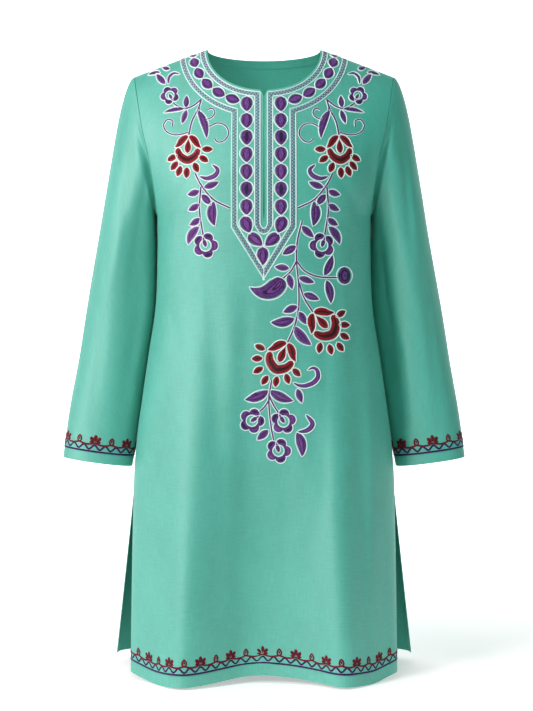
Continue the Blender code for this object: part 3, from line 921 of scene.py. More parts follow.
def curve(points, step=2.0):
    """A smooth line through a few points."""
    p = np.asarray(points, float)
    p = np.vstack([2 * p[0] - p[1], p, 2 * p[-1] - p[-2]])
    t = np.linspace(0.0, 1.0, 12, endpoint=False)[:, None]
    parts = []
    for a, b, c, d in zip(p, p[1:], p[2:], p[3:]):
        parts.append(0.5 * (2 * b + (c - a) * t + (2 * a - 5 * b + 4 * c - d) * t ** 2
                            + (3 * b - a - 3 * c + d) * t ** 3))
    return spaced(np.vstack(parts + [p[-2:-1]]), step)


def mirrored(line, way):
    """A line moved to the other side of the centre line where way is -1."""
    return np.asarray(line, float) * np.array([way, 1.0])


def edge_loop(line, half, margin):
    """The closed line round a shape, a margin outside it."""
    way, side = headings(line)
    left = line + side * (half + margin)[:, None]
    right = line - side * (half + margin)[:, None]
    return np.vstack([line[:1] - way[:1] * margin, left[1:-1], line[-1:] + way[-1:] * margin, right[-2:0:-1]])


def blade(base, tip, width, bend=0.0, fullest=0.45, start=0.8, end=0.8, steps=13):
    """Middle line and half widths of a leaf or a petal.  A low start or end value rounds it off."""
    base, tip = np.asarray(base, float), np.asarray(tip, float)
    t = np.linspace(0.0, 1.0, steps)
    run = tip - base
    side = np.array([-run[1], run[0]]) / np.linalg.norm(run)
    line = base + t[:, None] * run + (bend * 4 * t * (1 - t))[:, None] * side
    swell = np.sin(math.pi * t ** (math.log(0.5) / math.log(fullest)))
    return line, width / 2 * np.maximum(swell, 0.0) ** np.where(t < fullest, start, end)


def zigzag(line, reach, step, phase):
    """A line that swings to and fro across another."""
    line = spaced(line, step)
    swing = np.where((np.arange(len(line)) + phase) % 2 == 0, reach, -reach)
    return line + headings(line)[1] * swing[:, None]


# How far apart the ridges of thread or cord are, in metres, and how much they slant.
Lay = namedtuple("Lay", "pitch slant")
TWISTED = Lay(0.0022, 7.0)
SATIN = Lay(0.0007, 0.8)
ZIGZAG = Lay(0.0012, 3.0)
RIDGE_HEIGHT = 0.0003


def thread(name, light, dark, lay, roughness):
    """Thread or cord: ridges a pitch apart, at a slant where it is twisted, in drifting tones, and painted
    shade that darkens the colour between the ridges.
    """
    material, surface, shade = new_material(name, roughness, 0.04)
    place = shade.node("ShaderNodeUVMap", {"uv_map": "stitches"})
    parts = shade.node("ShaderNodeSeparateXYZ", inputs={0: place})
    along = Shade(shade.tree, parts.socket.node.outputs[0])
    across = Shade(shade.tree, parts.socket.node.outputs[1])
    ridges = shade.math("SINE", along * (2 * math.pi / lay.pitch) + across * lay.slant) * 0.5 + 0.5
    drift_place = shade.node("ShaderNodeCombineXYZ", inputs={0: along * 260.0, 1: across * 2.2, 2: 0.0})
    drift = shade.node("ShaderNodeTexNoise", {"noise_dimensions": "3D"},
                       {"Vector": drift_place, "Scale": 1.0, "Detail": 2.0, "Roughness": 0.55})
    # The ridges also feed the colour: painted shade, darker between the ridges; the drift is the thread's own
    # tone.
    tone = ridges * 0.3 + (drift - 0.5) * 2.2 + 0.35
    feed(surface, "Base Color", shade.mix(tone, dark, light))
    bump = shade.node("ShaderNodeBump", inputs={"Strength": 0.6, "Distance": RIDGE_HEIGHT, "Height": ridges})
    feed(surface, "Normal", bump)
    return material


WHITE_THREAD = thread("white_cord", (0.97, 0.97, 0.95), (0.86, 0.87, 0.86), TWISTED, 0.6)
PURPLE_THREAD = thread("purple_satin", (0.25, 0.062, 0.33), (0.09, 0.02, 0.135), SATIN, 0.42)
LILAC_THREAD = thread("lilac_satin", (0.34, 0.10, 0.41), (0.16, 0.035, 0.22), SATIN, 0.42)
PLUM_THREAD = thread("plum_satin", (0.055, 0.015, 0.09), (0.022, 0.008, 0.04), SATIN, 0.42)
MAUVE_THREAD = thread("mauve_zigzag", (0.44, 0.15, 0.44), (0.28, 0.08, 0.30), ZIGZAG, 0.5)
BLUE_THREAD = thread("pale_blue_zigzag", (0.66, 0.78, 0.84), (0.50, 0.66, 0.74), ZIGZAG, 0.5)


def front_surface(x, z):
    """The front panel, by places on it."""
    return cloth_at("front", x, z)


def neck_part(offset):
    """The part of a border line that follows the neckline, from the shoulder to its corner."""
    x, z = neck_point(np.linspace(1.0, 0.0, 121), FRONT_NECK_DROP)
    line = np.stack([x, z], axis=1)
    line = line + headings(line)[1] * (offset - EDGE_TO_SLIT) * NECK_NARROWING
    return line[(line[:, 0] > offset) & (line[:, 1] < shoulder_line(line[:, 0]) - SEAM_CLEARANCE)]


def border_line(part):
    """One whole border line on the wearer's left: neckline, corner, placket side, tip."""
    neck = neck_part(part.offset)
    corner = (part.offset, neck[-1, 1] - (neck[-1, 0] - part.offset) * 0.1)
    belly = (part.offset * 0.5, part.turn + (part.tip - part.turn) * part.belly)
    return np.vstack([neck, corner, (part.offset, part.turn), belly, (0.0, part.tip)])


border_white, border_purple, border_plum = Needlework(), Needlework(), Needlework()
border_lilac, border_mauve, border_blue = Needlework(), Needlework(), Needlework()


CORE_HEIGHT = 0.25
CORE_STEP = 0.2
BLUNT = 0.12


def worked(shape, fill, cores, cord, way=1.0, lift=0.0, cord_width=CORD):
    """A satin stitched shape, narrower cores one on the other, and a cord round it all."""
    line, half = mirrored(shape[0], way), shape[1]
    fill.band(line, half, SATIN_HEIGHT, lift)
    inner = slice(2, len(line) - 2)
    taper = np.sin(np.linspace(BLUNT, math.pi - BLUNT, len(line) - 4)) ** 0.5
    for i, (core, share) in enumerate(cores):
        above = lift + SATIN_HEIGHT * (1.0 - share * share) ** 0.5 + 0.05
        core.band(line[inner], half[inner] * share * taper, CORE_HEIGHT, above + CORE_STEP * i,
                  across=2, sunk=0.0)
    loop = edge_loop(line, half, cord_width * EDGE_MARGIN)
    cord.band(loop, cord_width / 2, CORD_HEIGHT, lift + CORD_LIFT, True)


KNOT = 1.9
KNOT_PLACES = (1.0, 0.5, 0.0, -0.5, -1.0)
KNOT_WIDTHS = np.array([0.05, 0.85, 1.0, 0.85, 0.05])


def knot(place, cord, size=KNOT):
    """A round stitch where cords meet."""
    line = [(place[0], place[1] + size * part) for part in KNOT_PLACES]
    cord.band(line, KNOT_WIDTHS * size, CORD_HEIGHT * 1.15, lift=0.15)


for way in (1.0, -1.0):
    for part in INNER_CORDS + OUTER_CORDS:
        line = spaced(border_line(part), CORD_STEP)
        border_white.band(mirrored(line, way), CORD / 2, CORD_HEIGHT, CORD_LIFT)
    for part in (INNER_ZIGZAG, OUTER_ZIGZAG):
        line = mirrored(border_line(part), way)
        ground, top = zigzag(line, BLUE_REACH, ZIGZAG_STEP, 1), zigzag(line, MAUVE_REACH, ZIGZAG_STEP, 0)
        border_blue.band(ground, BLUE_HALF_WIDTH, 0.5, lift=0.1, across=2)
        border_mauve.band(top, MAUVE_HALF_WIDTH, 0.7, lift=0.25, across=2)
    for i in range(COLUMN_COUNT):
        z = COLUMN_TOP - i * COLUMN_STEP
        lean = LAST_LEAN if i == COLUMN_COUNT - 1 else 0.0
        upper = (COLUMN_X + lean, z + MEDALLION_LENGTH / 2)
        lower = (COLUMN_X - lean, z - MEDALLION_LENGTH / 2)
        shape = blade(upper, lower, MEDALLION_WIDTH, fullest=0.44, start=ROUND_END, end=SHARP_END)
        cores = [(border_plum, 0.56), (border_lilac, 0.4)] if i % 3 < 2 else [(border_plum, 0.3)]
        worked(shape, border_purple, cores, border_white, way)
        knot((way * (COLUMN_X - lean), z - COLUMN_STEP / 2), border_white)
    shape = blade((21.5, -275.0), (2.0, -291.0), TIP_MEDALLION_WIDTH, 0.0, 0.42, ROUND_END, SHARP_END)
    worked(shape, border_purple, [(border_plum, 0.55), (border_lilac, 0.38)], border_white, way)
    # The medallions on the curve follow it, each as long as the one before, measured on the cloth.
    path = neck_part(COLUMN_X)[::-1]
    on_cloth = front_surface(path[:, 0], path[:, 1])[0]
    run = run_length(on_cloth)
    at = float(np.interp(NECK_MEDALLION_START, path[:, 0], run))
    while at < run[-1] - 4.0:
        end = min(at + NECK_MEDALLION_LENGTH, run[-1] - 0.5)
        stops = np.linspace(at, end, 13)
        line = points_at(stops, run, path)
        share = np.linspace(0.0, 1.0, 13) * (end - at) / NECK_MEDALLION_LENGTH
        half = NECK_MEDALLION_WIDTH / 2 * np.sin(math.pi * np.minimum(share, 1.0)) ** 0.62
        worked((line, np.maximum(half, 0.0)), border_purple, [(border_plum, 0.6), (border_lilac, 0.46)],
               border_white, way)
        at += NECK_MEDALLION_LENGTH + NECK_MEDALLION_GAP
shape = blade((-1.5, -293.0), (-1.5, -319.0), TIP_MEDALLION_WIDTH, 0.0, 0.42, ROUND_END, SHARP_END)
worked(shape, border_purple, [(border_plum, 0.5), (border_lilac, 0.34)], border_white)
knot((0.0, -291.0), border_white, 2.2)
knot((-1.0, -322.0), border_white, 1.7)
knot((0.0, -338.5), border_white, 1.9)
border_white.band([(0.0, -322.0), (0.0, -330.0), (0.0, -339.0)], CORD / 2, CORD_HEIGHT, CORD_LIFT)

border_white.make("border_cords", front_surface, WHITE_THREAD, "thread_white")
border_purple.make("border_medallions", front_surface, PURPLE_THREAD, "thread_purple")
border_plum.make("border_dark_cores", front_surface, PLUM_THREAD, "thread_purple")
border_lilac.make("border_light_medallions", front_surface, LILAC_THREAD, "thread_purple")
border_mauve.make("border_zigzag", front_surface, MAUVE_THREAD, "thread_purple")
border_blue.make("border_zigzag_ground", front_surface, BLUE_THREAD, "thread_mint")


# Upper sprays: one on each side of the border, purple flowers and leaves and a red blossom in
# satin stitch, all edged with white cord, on stems of purple thread laid on a broad white one.
STEM_WHITE = 4.9
STEM_PURPLE = 2.1
TENDRIL_WHITE = 4.0
TENDRIL_PURPLE = 1.7
SPRAY_CORD = 1.85
LEAF_FULLNESS = 1.17
LEAF_REACH = 0.045
Leaf = namedtuple("Leaf", "base tip width bend tone")
# Places on the wearer's left side, the other side is its mirror.
UPPER_LEAVES = [
    Leaf((144, -54), (157, -38), 8.0, 0.0, "light"),
    Leaf((152, -36), (169, -39), 5.5, 2.0, "light"),
    Leaf((138, -31), (149, -27), 6.0, 0.0, "light"),
    Leaf((112, -91), (111, -74), 7.2, 0.0, "mid"),
    Leaf((115, -94), (143, -98), 5.6, 2.0, "light"),
    Leaf((111, -96), (117, -115), 7.0, 0.0, "light"),
    Leaf((95, -97), (82, -137), 9.4, -4.0, "mid"),
    Leaf((84, -208), (64, -201), 8.5, 1.0, "light"),
    Leaf((92, -213), (108, -218), 8.5, -1.0, "light"),
    Leaf((92, -232), (107, -240), 8.5, -1.0, "light"),
    Leaf((91, -252), (105, -261), 8.5, -1.0, "light"),
    Leaf((92, -265), (107, -288), 10.5, 3.5, "light"),
    Leaf((87, -219), (75, -233), 9.0, 0.0, "mid"),
    Leaf((70, -230), (69, -262), 12.5, 4.0, "mid"),
]
UPPER_STEMS = [
    [(130, -85), (121, -91), (112, -93), (101, -89), (90, -80)],
    [(90, -80), (94, -94), (103, -113), (107, -133)],
    [(97, -189), (88, -206), (71, -226), (48, -238)],
    [(89, -208), (91, -241), (86, -275)],
]
UPPER_TENDRILS = [
    [(93, -90), (91, -103), (83, -110), (74, -107), (70, -100), (74, -94), (81, -96)],
    [(108, -129), (125, -132), (139, -127), (144, -117), (139, -109), (131, -111), (131, -119)],
    [(80, -122), (66, -116), (54, -121), (50, -132), (56, -142), (65, -144), (70, -139)],
]
UPPER_CRESCENTS = [
    ([(139, -55), (138, -44), (131, -38), (122, -40)], 4.5),
    ([(91, -193), (80, -196), (69, -192), (65, -184), (73, -176)], 7.0),
]
ROUND_FLOWER = 18.4
SMALL_FLOWER = 14.2
UPPER_BUDS = [(80, -154), (85, -168), (96, -180), (109.5, -187), (120.5, -184.5), (127.5, -176.5),
              (131, -165)]

spray_white, spray_stem, spray_plum = Needlework(), Needlework(), Needlework()
spray_purple, spray_lilac = Needlework(), Needlework()
spray_red, spray_dark_red = Needlework(), Needlework()


def stem(points, way=1.0, white=STEM_WHITE, purple=STEM_PURPLE):
    """A purple thread laid on a broader white one."""
    line = mirrored(curve(points), way)
    spray_white.band(line, white / 2, 0.5, lift=0.05)
    spray_stem.band(line, purple / 2, 0.4, lift=0.6, across=2, sunk=0.0)


def leaf(row, way=1.0):
    """A leaf in satin stitch, lighter or darker, with a core of the other tone."""
    fill, core = (spray_lilac, spray_purple) if row.tone == "light" else (spray_purple, spray_lilac)
    cores = [(spray_plum, 0.42), (core, 0.28)]
    base, tip = np.array(row.base, float), np.array(row.tip, float)
    reach = (tip - base) * LEAF_REACH
    shape = blade(base - reach, tip + reach, row.width * LEAF_FULLNESS, row.bend)
    worked(shape, fill, cores, spray_white, way, cord_width=SPRAY_CORD)


def crescent(points, width, way=1.0):
    """A hooked leaf that swells in its middle."""
    line = curve(points)
    half = width / 2 * np.sin(np.linspace(0.12, math.pi - 0.06, len(line))) ** 0.7
    worked((line, half), spray_purple, [(spray_lilac, 0.4)], spray_white, way, cord_width=SPRAY_CORD)


def about(centre, heading, along, aside):
    """A place given along and beside a heading, from a centre."""
    angle = math.radians(heading)
    way, side = np.array([math.cos(angle), math.sin(angle)]), np.array([-math.sin(angle), math.cos(angle)])
    return np.asarray(centre, float) + along * way + aside * side


def round_flower(centre, heading, size=ROUND_FLOWER, way=1.0):
    """Five round petals round an open ring, and a drop that hangs in it from the stem.

    The heading points from the stem's end to the flower's middle.
    """
    turn = np.linspace(0.0, 2 * math.pi, 60, endpoint=False)
    lobes = np.abs(np.sin(2.5 * turn)) ** 0.75
    outer = size * (0.70 + 0.30 * lobes)
    inner = size * 0.44
    start = math.radians(heading) + math.pi
    ray = np.stack([np.cos(turn + start), np.sin(turn + start)], axis=1)
    middle = np.asarray(centre, float)
    ring = middle + ray * ((outer + inner) / 2)[:, None]
    spray_purple.band(mirrored(ring, way), (outer - inner) / 2, SATIN_HEIGHT, closed=True)
    for edge in (middle + ray * (outer + EDGE_MARGIN)[:, None], middle + ray[::2] * inner):
        spray_white.band(mirrored(edge, way), SPRAY_CORD / 2, CORD_HEIGHT, CORD_LIFT, True)
    for i in range(5):
        bow = start + 2 * math.pi * (i + 0.5) / 5 + np.linspace(-0.36, 0.36, 7)
        line = middle + np.stack([np.cos(bow), np.sin(bow)], axis=1) * size * 0.76
        half = size * 0.085 * np.sin(np.linspace(0.2, math.pi - 0.2, 7))
        work = spray_lilac if i % 2 else spray_plum
        work.band(mirrored(line, way), half, 0.3, SATIN_HEIGHT, across=2, sunk=0.0)
    drop = blade(about(centre, heading, -size * 0.78, 0.0), about(centre, heading, size * 0.14, 0.0),
                 size * 0.34, 0.0, 0.62, 1.0, 0.5)
    line, half = mirrored(drop[0], way), drop[1]
    spray_purple.band(line, half, SATIN_HEIGHT, lift=0.35)
    spray_white.band(edge_loop(line, half, EDGE_MARGIN), SPRAY_CORD / 2.2, CORD_HEIGHT * 0.8, 0.3, True)


# A red blossom's shapes, along and beside the line from its foot to the bottom of its bowl.
BOWL = [(17.5, -14.5), (23.5, -13.6), (30.0, -9.6), (35.0, 0.0), (30.0, 9.6), (23.5, 13.6), (17.5, 14.5)]
PETAL = [(0.0, 0.6), (3.6, 6.2), (8.0, 10.2), (12.6, 13.4), (17.2, 19.0)]
PETAL_WIDTH = 9.8
DROP_WIDTH = 9.4
BUD_LENGTH = 16.2
BUD_WIDTH = 9.8
# The buds fan out from a place on that line.
FAN_PLACE = 19.0


def red_blossom(foot, heading, scale, buds, way=1.0):
    """A blossom of two hooked petals, a drop and a deep bowl, with buds fanned out round it.

    The heading points from its foot on the stem to the bottom of the bowl.
    """
    def at(along, aside):
        return about(foot, heading, along * scale, aside * scale)

    bowl = curve([at(*place) for place in BOWL])
    share = np.linspace(-1.0, 1.0, len(bowl))
    half = scale * (6.3 - 2.8 * share ** 2) * np.minimum(1.0, 0.25 + 9.0 * (1.0 - np.abs(share)))
    worked((bowl, half), spray_red, [(spray_dark_red, 0.34)], spray_white, way, cord_width=SPRAY_CORD)
    for side in (1.0, -1.0):
        line = curve([at(along, side * aside) for along, aside in PETAL], 1.6)
        half = scale * PETAL_WIDTH / 2 * np.sin(math.pi * np.linspace(0.04, 0.99, len(line)) ** 0.85) ** 0.8
        worked((line, half), spray_red, [(spray_dark_red, 0.27)], spray_white, way, 0.4, SPRAY_CORD)
    drop = blade(at(4.0, 0.0), at(25.5, 0.0), DROP_WIDTH * scale, 0.0, 0.6, 0.9, 0.5)
    worked(drop, spray_red, [(spray_dark_red, 0.27)], spray_white, way, 0.7, SPRAY_CORD)
    for bud in buds:
        away = unit(np.asarray(bud, float) - at(FAN_PLACE, 0.0)) * BUD_LENGTH / 2
        worked(blade(bud - away, bud + away, BUD_WIDTH, 0.0, 0.48, 0.62, 0.72, 11),
               spray_red, [(spray_dark_red, 0.3)], spray_white, way, cord_width=SPRAY_CORD)
    knot(mirrored([foot], way)[0], spray_white, 2.3)


for way in (1.0, -1.0):
    for points in UPPER_STEMS:
        stem(points, way)
    for points in UPPER_TENDRILS:
        stem(points, way, TENDRIL_WHITE, TENDRIL_PURPLE)
    for row in UPPER_LEAVES:
        leaf(row, way)
    for points, width in UPPER_CRESCENTS:
        crescent(points, width, way)
    round_flower((136, -72), 62.0, SMALL_FLOWER, way)
    round_flower((82.5, -290.5), -107.0, ROUND_FLOWER, way)
    red_blossom((107, -134), -87.0, 1.0, UPPER_BUDS, way)


# Hanging spray: it grows from the wearer's left side below the placket and hangs down the front,
# with a paisley, a round bud, two red blossoms and three purple flowers, worked as the others.
HANGING_STEMS = [
    [(54, -256), (47, -285), (46, -313), (49, -345), (49, -379), (43, -406), (33, -429)],
    [(46, -313), (38, -327), (27, -337)],
    [(47, -314), (58, -327), (78, -335), (104, -336)],
    [(50, -344), (57, -365), (70, -386)],
    [(11, -482), (7, -510), (10, -546), (14, -568)],
    [(8, -509), (1, -520), (-9, -529)],
    [(8, -505), (14, -518), (21, -529)],
]
HANGING_LEAVES = [
    Leaf((45, -292), (27, -303), 9.5, 0.0, "mid"),
    Leaf((35, -323), (16, -321), 8.5, 0.0, "light"),
    Leaf((35, -332), (40, -352), 9.0, 0.0, "light"),
    Leaf((50, -336), (71, -343), 8.5, 0.0, "light"),
    Leaf((57, -359), (78, -367), 9.0, 0.0, "mid"),
    Leaf((86, -332), (97, -305), 10.0, -1.5, "mid"),
    Leaf((89, -341), (95, -372), 10.5, 2.0, "mid"),
    Leaf((54, -264), (70, -279), 9.0, 0.0, "light"),
    Leaf((47, -377), (28, -385), 9.5, 0.0, "light"),
    Leaf((50, -385), (60, -402), 9.5, 0.0, "light"),
    Leaf((42, -394), (11, -399), 12.5, 3.0, "mid"),
    Leaf((45, -406), (67, -431), 12.5, -3.0, "light"),
    Leaf((5, -497), (-26, -509), 12.5, 3.0, "mid"),
    Leaf((10, -497), (41, -511), 12.5, -2.5, "mid"),
    Leaf((6, -554), (-9, -567), 9.5, 0.0, "light"),
    Leaf((48, -495), (54, -514), 8.5, 0.0, "light"),
    Leaf((47, -558), (54, -590), 12.5, 3.5, "mid"),
]
HOOKED_LEAVES = [
    ([(42, -485.5), (50, -489.5), (59, -490), (70, -486), (77, -478), (76, -468.5), (70, -464.5),
      (62, -468)], 7.0),
    ([(48, -556), (62, -553.5), (69.5, -544), (60, -531)], 7.5),
]
PAISLEY_LINE = [(25.5, -337.0), (20, -347), (10, -354.5), (-2, -357), (-12, -354.5), (-20.5, -349.5)]
PAISLEY_WIDTH = 27.0
PAISLEY_STEPS = 37
# The paisley's and the round bud's inner rows of stitches: how large a share, and how high.
PAISLEY_CORES = [(0.72, spray_plum, 0.5), (0.55, spray_lilac, 0.7), (0.3, spray_plum, 0.9),
                 (0.14, spray_lilac, 1.1)]
BUD_LAYERS = [(1.0, spray_purple, 0.0), (0.72, spray_plum, 0.45), (0.56, spray_lilac, 0.6),
              (0.26, spray_purple, 0.8)]
ROUND_BUD_PLACE = np.array([115.0, -333.0])
ROUND_BUD = 11.0
ROUND_BUD_HEIGHT = 1.12
RIGHT_BUDS = [(110, -387.5), (115.5, -403.5), (115.5, -420), (109, -435), (95, -438.5), (79.5, -436)]
LEFT_BUDS = [(-5.5, -435), (-9.5, -451), (-8, -467.5), (1.5, -482), (17.5, -484), (33.5, -480),
             (46.5, -471)]

for points in HANGING_STEMS:
    stem(points)
for row in HANGING_LEAVES:
    leaf(row)
for points, width in HOOKED_LEAVES:
    crescent(points, width)
round_flower((-17, -540), 214.0)
round_flower((28, -541), -58.0)
round_flower((21, -583), -74.0)
red_blossom((70, -386), -47.0, 1.18, RIGHT_BUDS)
red_blossom((33, -429), -113.0, 1.15, LEFT_BUDS)

paisley = curve(PAISLEY_LINE, 0.5)
share = np.linspace(0.0, 1.0, PAISLEY_STEPS) ** 1.6
paisley = points_at(share, np.linspace(0.0, 1.0, len(paisley)), paisley)
swell = np.sin(math.pi * share ** 0.62)
paisley_half = PAISLEY_WIDTH / 2 * np.maximum(swell, 0.0) ** np.where(share < 0.33, 0.55, 0.95)
spray_purple.band(paisley, paisley_half, SATIN_HEIGHT)
paisley_edge = edge_loop(paisley, paisley_half, EDGE_MARGIN)
spray_white.band(paisley_edge, SPRAY_CORD / 2, CORD_HEIGHT, CORD_LIFT, True)
for share, work, lift in PAISLEY_CORES:
    keep = slice(int(len(paisley) * (1 - share) * 0.28) + 1, int(len(paisley) * (0.42 + share * 0.5)))
    inner = paisley_half[keep] * share
    inner = inner * np.sin(np.linspace(0.25, math.pi - 0.1, len(inner))) ** 0.4
    work.band(paisley[keep], inner, 0.4, lift=lift)

up = np.linspace(-1.0, 1.0, 13)
for share, work, lift in BUD_LAYERS:
    line = ROUND_BUD_PLACE + np.stack([np.zeros(13), up * ROUND_BUD_HEIGHT], axis=1) * ROUND_BUD * share
    half = ROUND_BUD * share * np.maximum(1.0 - np.abs(up) ** 2.3, 0.0) ** 0.44
    work.band(line, half, SATIN_HEIGHT * 0.8, lift=lift)
bud_turn = np.linspace(0.0, 2 * math.pi, 32, endpoint=False)
bud_ray = np.stack([np.cos(bud_turn), ROUND_BUD_HEIGHT * np.sin(bud_turn)], axis=1)
bud_edge = ROUND_BUD_PLACE + bud_ray * (ROUND_BUD + 0.5)
spray_white.band(bud_edge, SPRAY_CORD / 2, CORD_HEIGHT, CORD_LIFT, True)

RED_THREAD = thread("red_satin", (0.52, 0.006, 0.02), (0.28, 0.003, 0.012), SATIN, 0.42)
DARK_RED_THREAD = thread("dark_red_satin", (0.09, 0.006, 0.02), (0.035, 0.005, 0.012), SATIN, 0.45)
spray_white.make("spray_cords", front_surface, WHITE_THREAD, "thread_white")
spray_stem.make("spray_stems", front_surface, PURPLE_THREAD, "thread_purple")
spray_purple.make("spray_purple", front_surface, PURPLE_THREAD, "thread_purple")
spray_lilac.make("spray_lilac", front_surface, LILAC_THREAD, "thread_purple")
spray_plum.make("spray_plum", front_surface, PLUM_THREAD, "thread_purple")
spray_red.make("spray_red", front_surface, RED_THREAD, "thread_red")
spray_dark_red.make("spray_dark_red", front_surface, DARK_RED_THREAD, "thread_red")


# Hem border: on the front panel alone, a line and a wave of purple thread under a red vine
# with small blossoms and buds, worked in chain and lazy daisy stitch.
HEM_LINE = 18.5
HEM_WAVE = 24.6
WAVE_REACH = 3.1
WAVE_LENGTH = 16.3
HEM_VINE = 29.6
VINE_SAG = 2.6
REPEAT = 49.0
PETAL_ROOT = 1.5
PETAL_HEIGHT = 0.8
BUD_FOOT = 1.0
BUD_TIP = 10.0
BUD_LOOP = 5.0
BUD_THREAD = 1.45
END_MARGIN = 2.5
RUN_STEP = 1.5
# The petals of a small blossom: their direction in degrees from along the hem, and their size.
Petal = namedtuple("Petal", "turn length width")
PETALS = [Petal(90, 12.5, 6.2), Petal(48, 11.8, 6.0), Petal(132, 11.8, 6.0), Petal(14, 8.5, 4.2),
          Petal(166, 8.5, 4.2)]
BORDER_THREAD = 3.1
CHAIN = Lay(0.0028, 3.0)

HEM_END = 195.6
hem_x = np.linspace(-HEM_END, HEM_END, 900)
hem_points = front_surface(hem_x, HEM - hem_drop(hem_x))[0]
hem_run = run_length(hem_points)
hem_run -= hem_run[-1] / 2


def hem_surface(along, above):
    """The front's hem: how far along it from the centre, and how far above its edge."""
    x = np.interp(along, hem_run, hem_x)
    return cloth_at("front", x, HEM - hem_drop(x) + above)


def running_border(purple, red, dark, first, last, repeat, shift):
    """A line, a wave, a vine, and blossoms and buds by turns, from one place to another.

    A blossom stands at the shift, and blossoms and buds follow it by turns every half repeat.
    """
    run = np.arange(first, last, RUN_STEP)
    whole = repeat / round(repeat / WAVE_LENGTH)
    purple.band(np.stack([run, np.full_like(run, HEM_LINE)], axis=1), BORDER_THREAD / 2, 0.7)
    wave = HEM_WAVE + WAVE_REACH * np.sin(2 * math.pi * (run - shift) / whole + math.pi / 2)
    purple.band(np.stack([run, wave], axis=1), BORDER_THREAD / 2, 0.7)
    vine = HEM_VINE - VINE_SAG * np.abs(np.sin(2 * math.pi * (run - shift) / repeat)) + 1.2
    red.band(np.stack([run, vine], axis=1), BORDER_THREAD / 2, 0.75)
    for i in range(math.ceil((first - shift) / (repeat / 2)), math.floor((last - shift) / (repeat / 2)) + 1):
        at = shift + i * repeat / 2
        foot = (at, HEM_VINE + BUD_FOOT)
        if i % 2:
            if first + 4.0 < at < last - 4.0:
                bud = blade(foot, (at, HEM_VINE + BUD_TIP), BUD_LOOP, 0.0, 0.45, 0.6, 0.8, 9)
                red.band(edge_loop(*bud, 0.5), BUD_THREAD, PETAL_HEIGHT, 0.0, True)
                dark.band(*blade((at, HEM_VINE + 3.5), (at, HEM_VINE + 8.0), 2.6, 0.0, 0.5, 0.8, 0.8, 7), 0.6)
            continue
        for turn, length, width in PETALS:
            end = about(foot, turn, length, 0.0)
            if not first + 1.0 < min(at, end[0]) or not max(at, end[0]) < last - 1.0:
                continue
            line, half = blade(about(foot, turn, PETAL_ROOT, 0.0), end, width, 0.0, 0.58, 0.8, 0.5, 9)
            red.band(line, half, PETAL_HEIGHT, 0.1)
            dark.band(line[2:7], half[2:7] * 0.32, 0.3, 0.75, across=2, sunk=0.0)


hem_purple, hem_red, hem_dark = Needlework(), Needlework(), Needlework()
running_border(hem_purple, hem_red, hem_dark, hem_run[0] + END_MARGIN, hem_run[-1] - END_MARGIN, REPEAT, 0.0)
VIOLET_THREAD = thread("violet_chain", (0.07, 0.010, 0.13), (0.035, 0.005, 0.065), CHAIN, 0.5)
VINE_THREAD = thread("red_chain", (0.28, 0.004, 0.028), (0.15, 0.003, 0.015), CHAIN, 0.5)
hem_purple.make("hem_line_and_wave", hem_surface, VIOLET_THREAD, "thread_purple")
hem_red.make("hem_vine", hem_surface, VINE_THREAD, "thread_red")
hem_dark.make("hem_vine_centres", hem_surface, DARK_RED_THREAD, "thread_red")


# Cuff borders: the same border as the hem's, in the same threads and stitches, worked all the way
# round each sleeve above its turned edge.
CUFF_REPEATS = 6
CUFF_EDGE = SLEEVE[-1].z
CUFF_FLOWER_X = 250.0
CUFF_LOWER = 2.3

cuff_angles = np.linspace(-math.pi, math.pi, 1441)
cuff_points = sleeve_ring(CUFF_EDGE + HEM_WAVE, cuff_angles)
cuff_run = run_length(cuff_points)
front_half = cuff_angles > 0
cuff_shift = float(np.interp(-CUFF_FLOWER_X, -cuff_points[front_half, 0], cuff_run[front_half]))


def cuff_surface(along, above, way):
    """A sleeve near its cuff: how far round it, and how far above its edge."""
    angle = np.interp(along % cuff_run[-1], cuff_run, cuff_angles)
    z = CUFF_EDGE + above - CUFF_LOWER
    point = sleeve_ring(z, angle)
    around = sleeve_ring(z, angle + 0.002) - sleeve_ring(z, angle - 0.002)
    down = sleeve_ring(z - 0.2, angle) - sleeve_ring(z + 0.2, angle)
    normal = -unit(np.cross(unit(down), unit(around)))
    return point * np.array([way, 1.0, 1.0]), normal * np.array([way, 1.0, 1.0])


for name, way in (("left", 1.0), ("right", -1.0)):
    cuff_purple, cuff_red, cuff_dark = Needlework(), Needlework(), Needlework()
    running_border(cuff_purple, cuff_red, cuff_dark, 0.0, cuff_run[-1] + 1.5, cuff_run[-1] / CUFF_REPEATS,
                   cuff_shift % (cuff_run[-1] / CUFF_REPEATS))

    def this_cuff(along, above):
        return cuff_surface(along, above, way)

    cuff_purple.make("cuff_line_and_wave_" + name, this_cuff, VIOLET_THREAD, "thread_purple")
    cuff_red.make("cuff_vine_" + name, this_cuff, VINE_THREAD, "thread_red")
    cuff_dark.make("cuff_vine_centres_" + name, this_cuff, DARK_RED_THREAD, "thread_red")


# Sewing: rows of small lockstitches in thread of the cloth's colour, along the hems, the slits,
# the cuffs, the placket and the strip inside the neck.
STITCH = 2.6
STITCH_PITCH = 3.4
STITCH_START = 0.5
STITCH_HALF_WIDTHS = np.array([0.15, 0.25, 0.15])
STITCH_HEIGHT = 0.25
STITCH_LIFT = 0.05
FRONT_HEM_ROW = 16.2
BACK_HEM_ROW = 13.0
PLACKET_ROW = 2.8
# The rows beside the slits and at the back hem, as parts of the way to the side seam.
SLIT_PART = 0.93
HEM_END_PART = 0.995
STRIP_ROWS = (0.25, 0.85)

LOCKSTITCH = Lay(0.0009, 4.0)
MINT_THREAD = thread("mint_thread", (0.10, 0.40, 0.32), (0.07, 0.31, 0.24), LOCKSTITCH, 0.5)


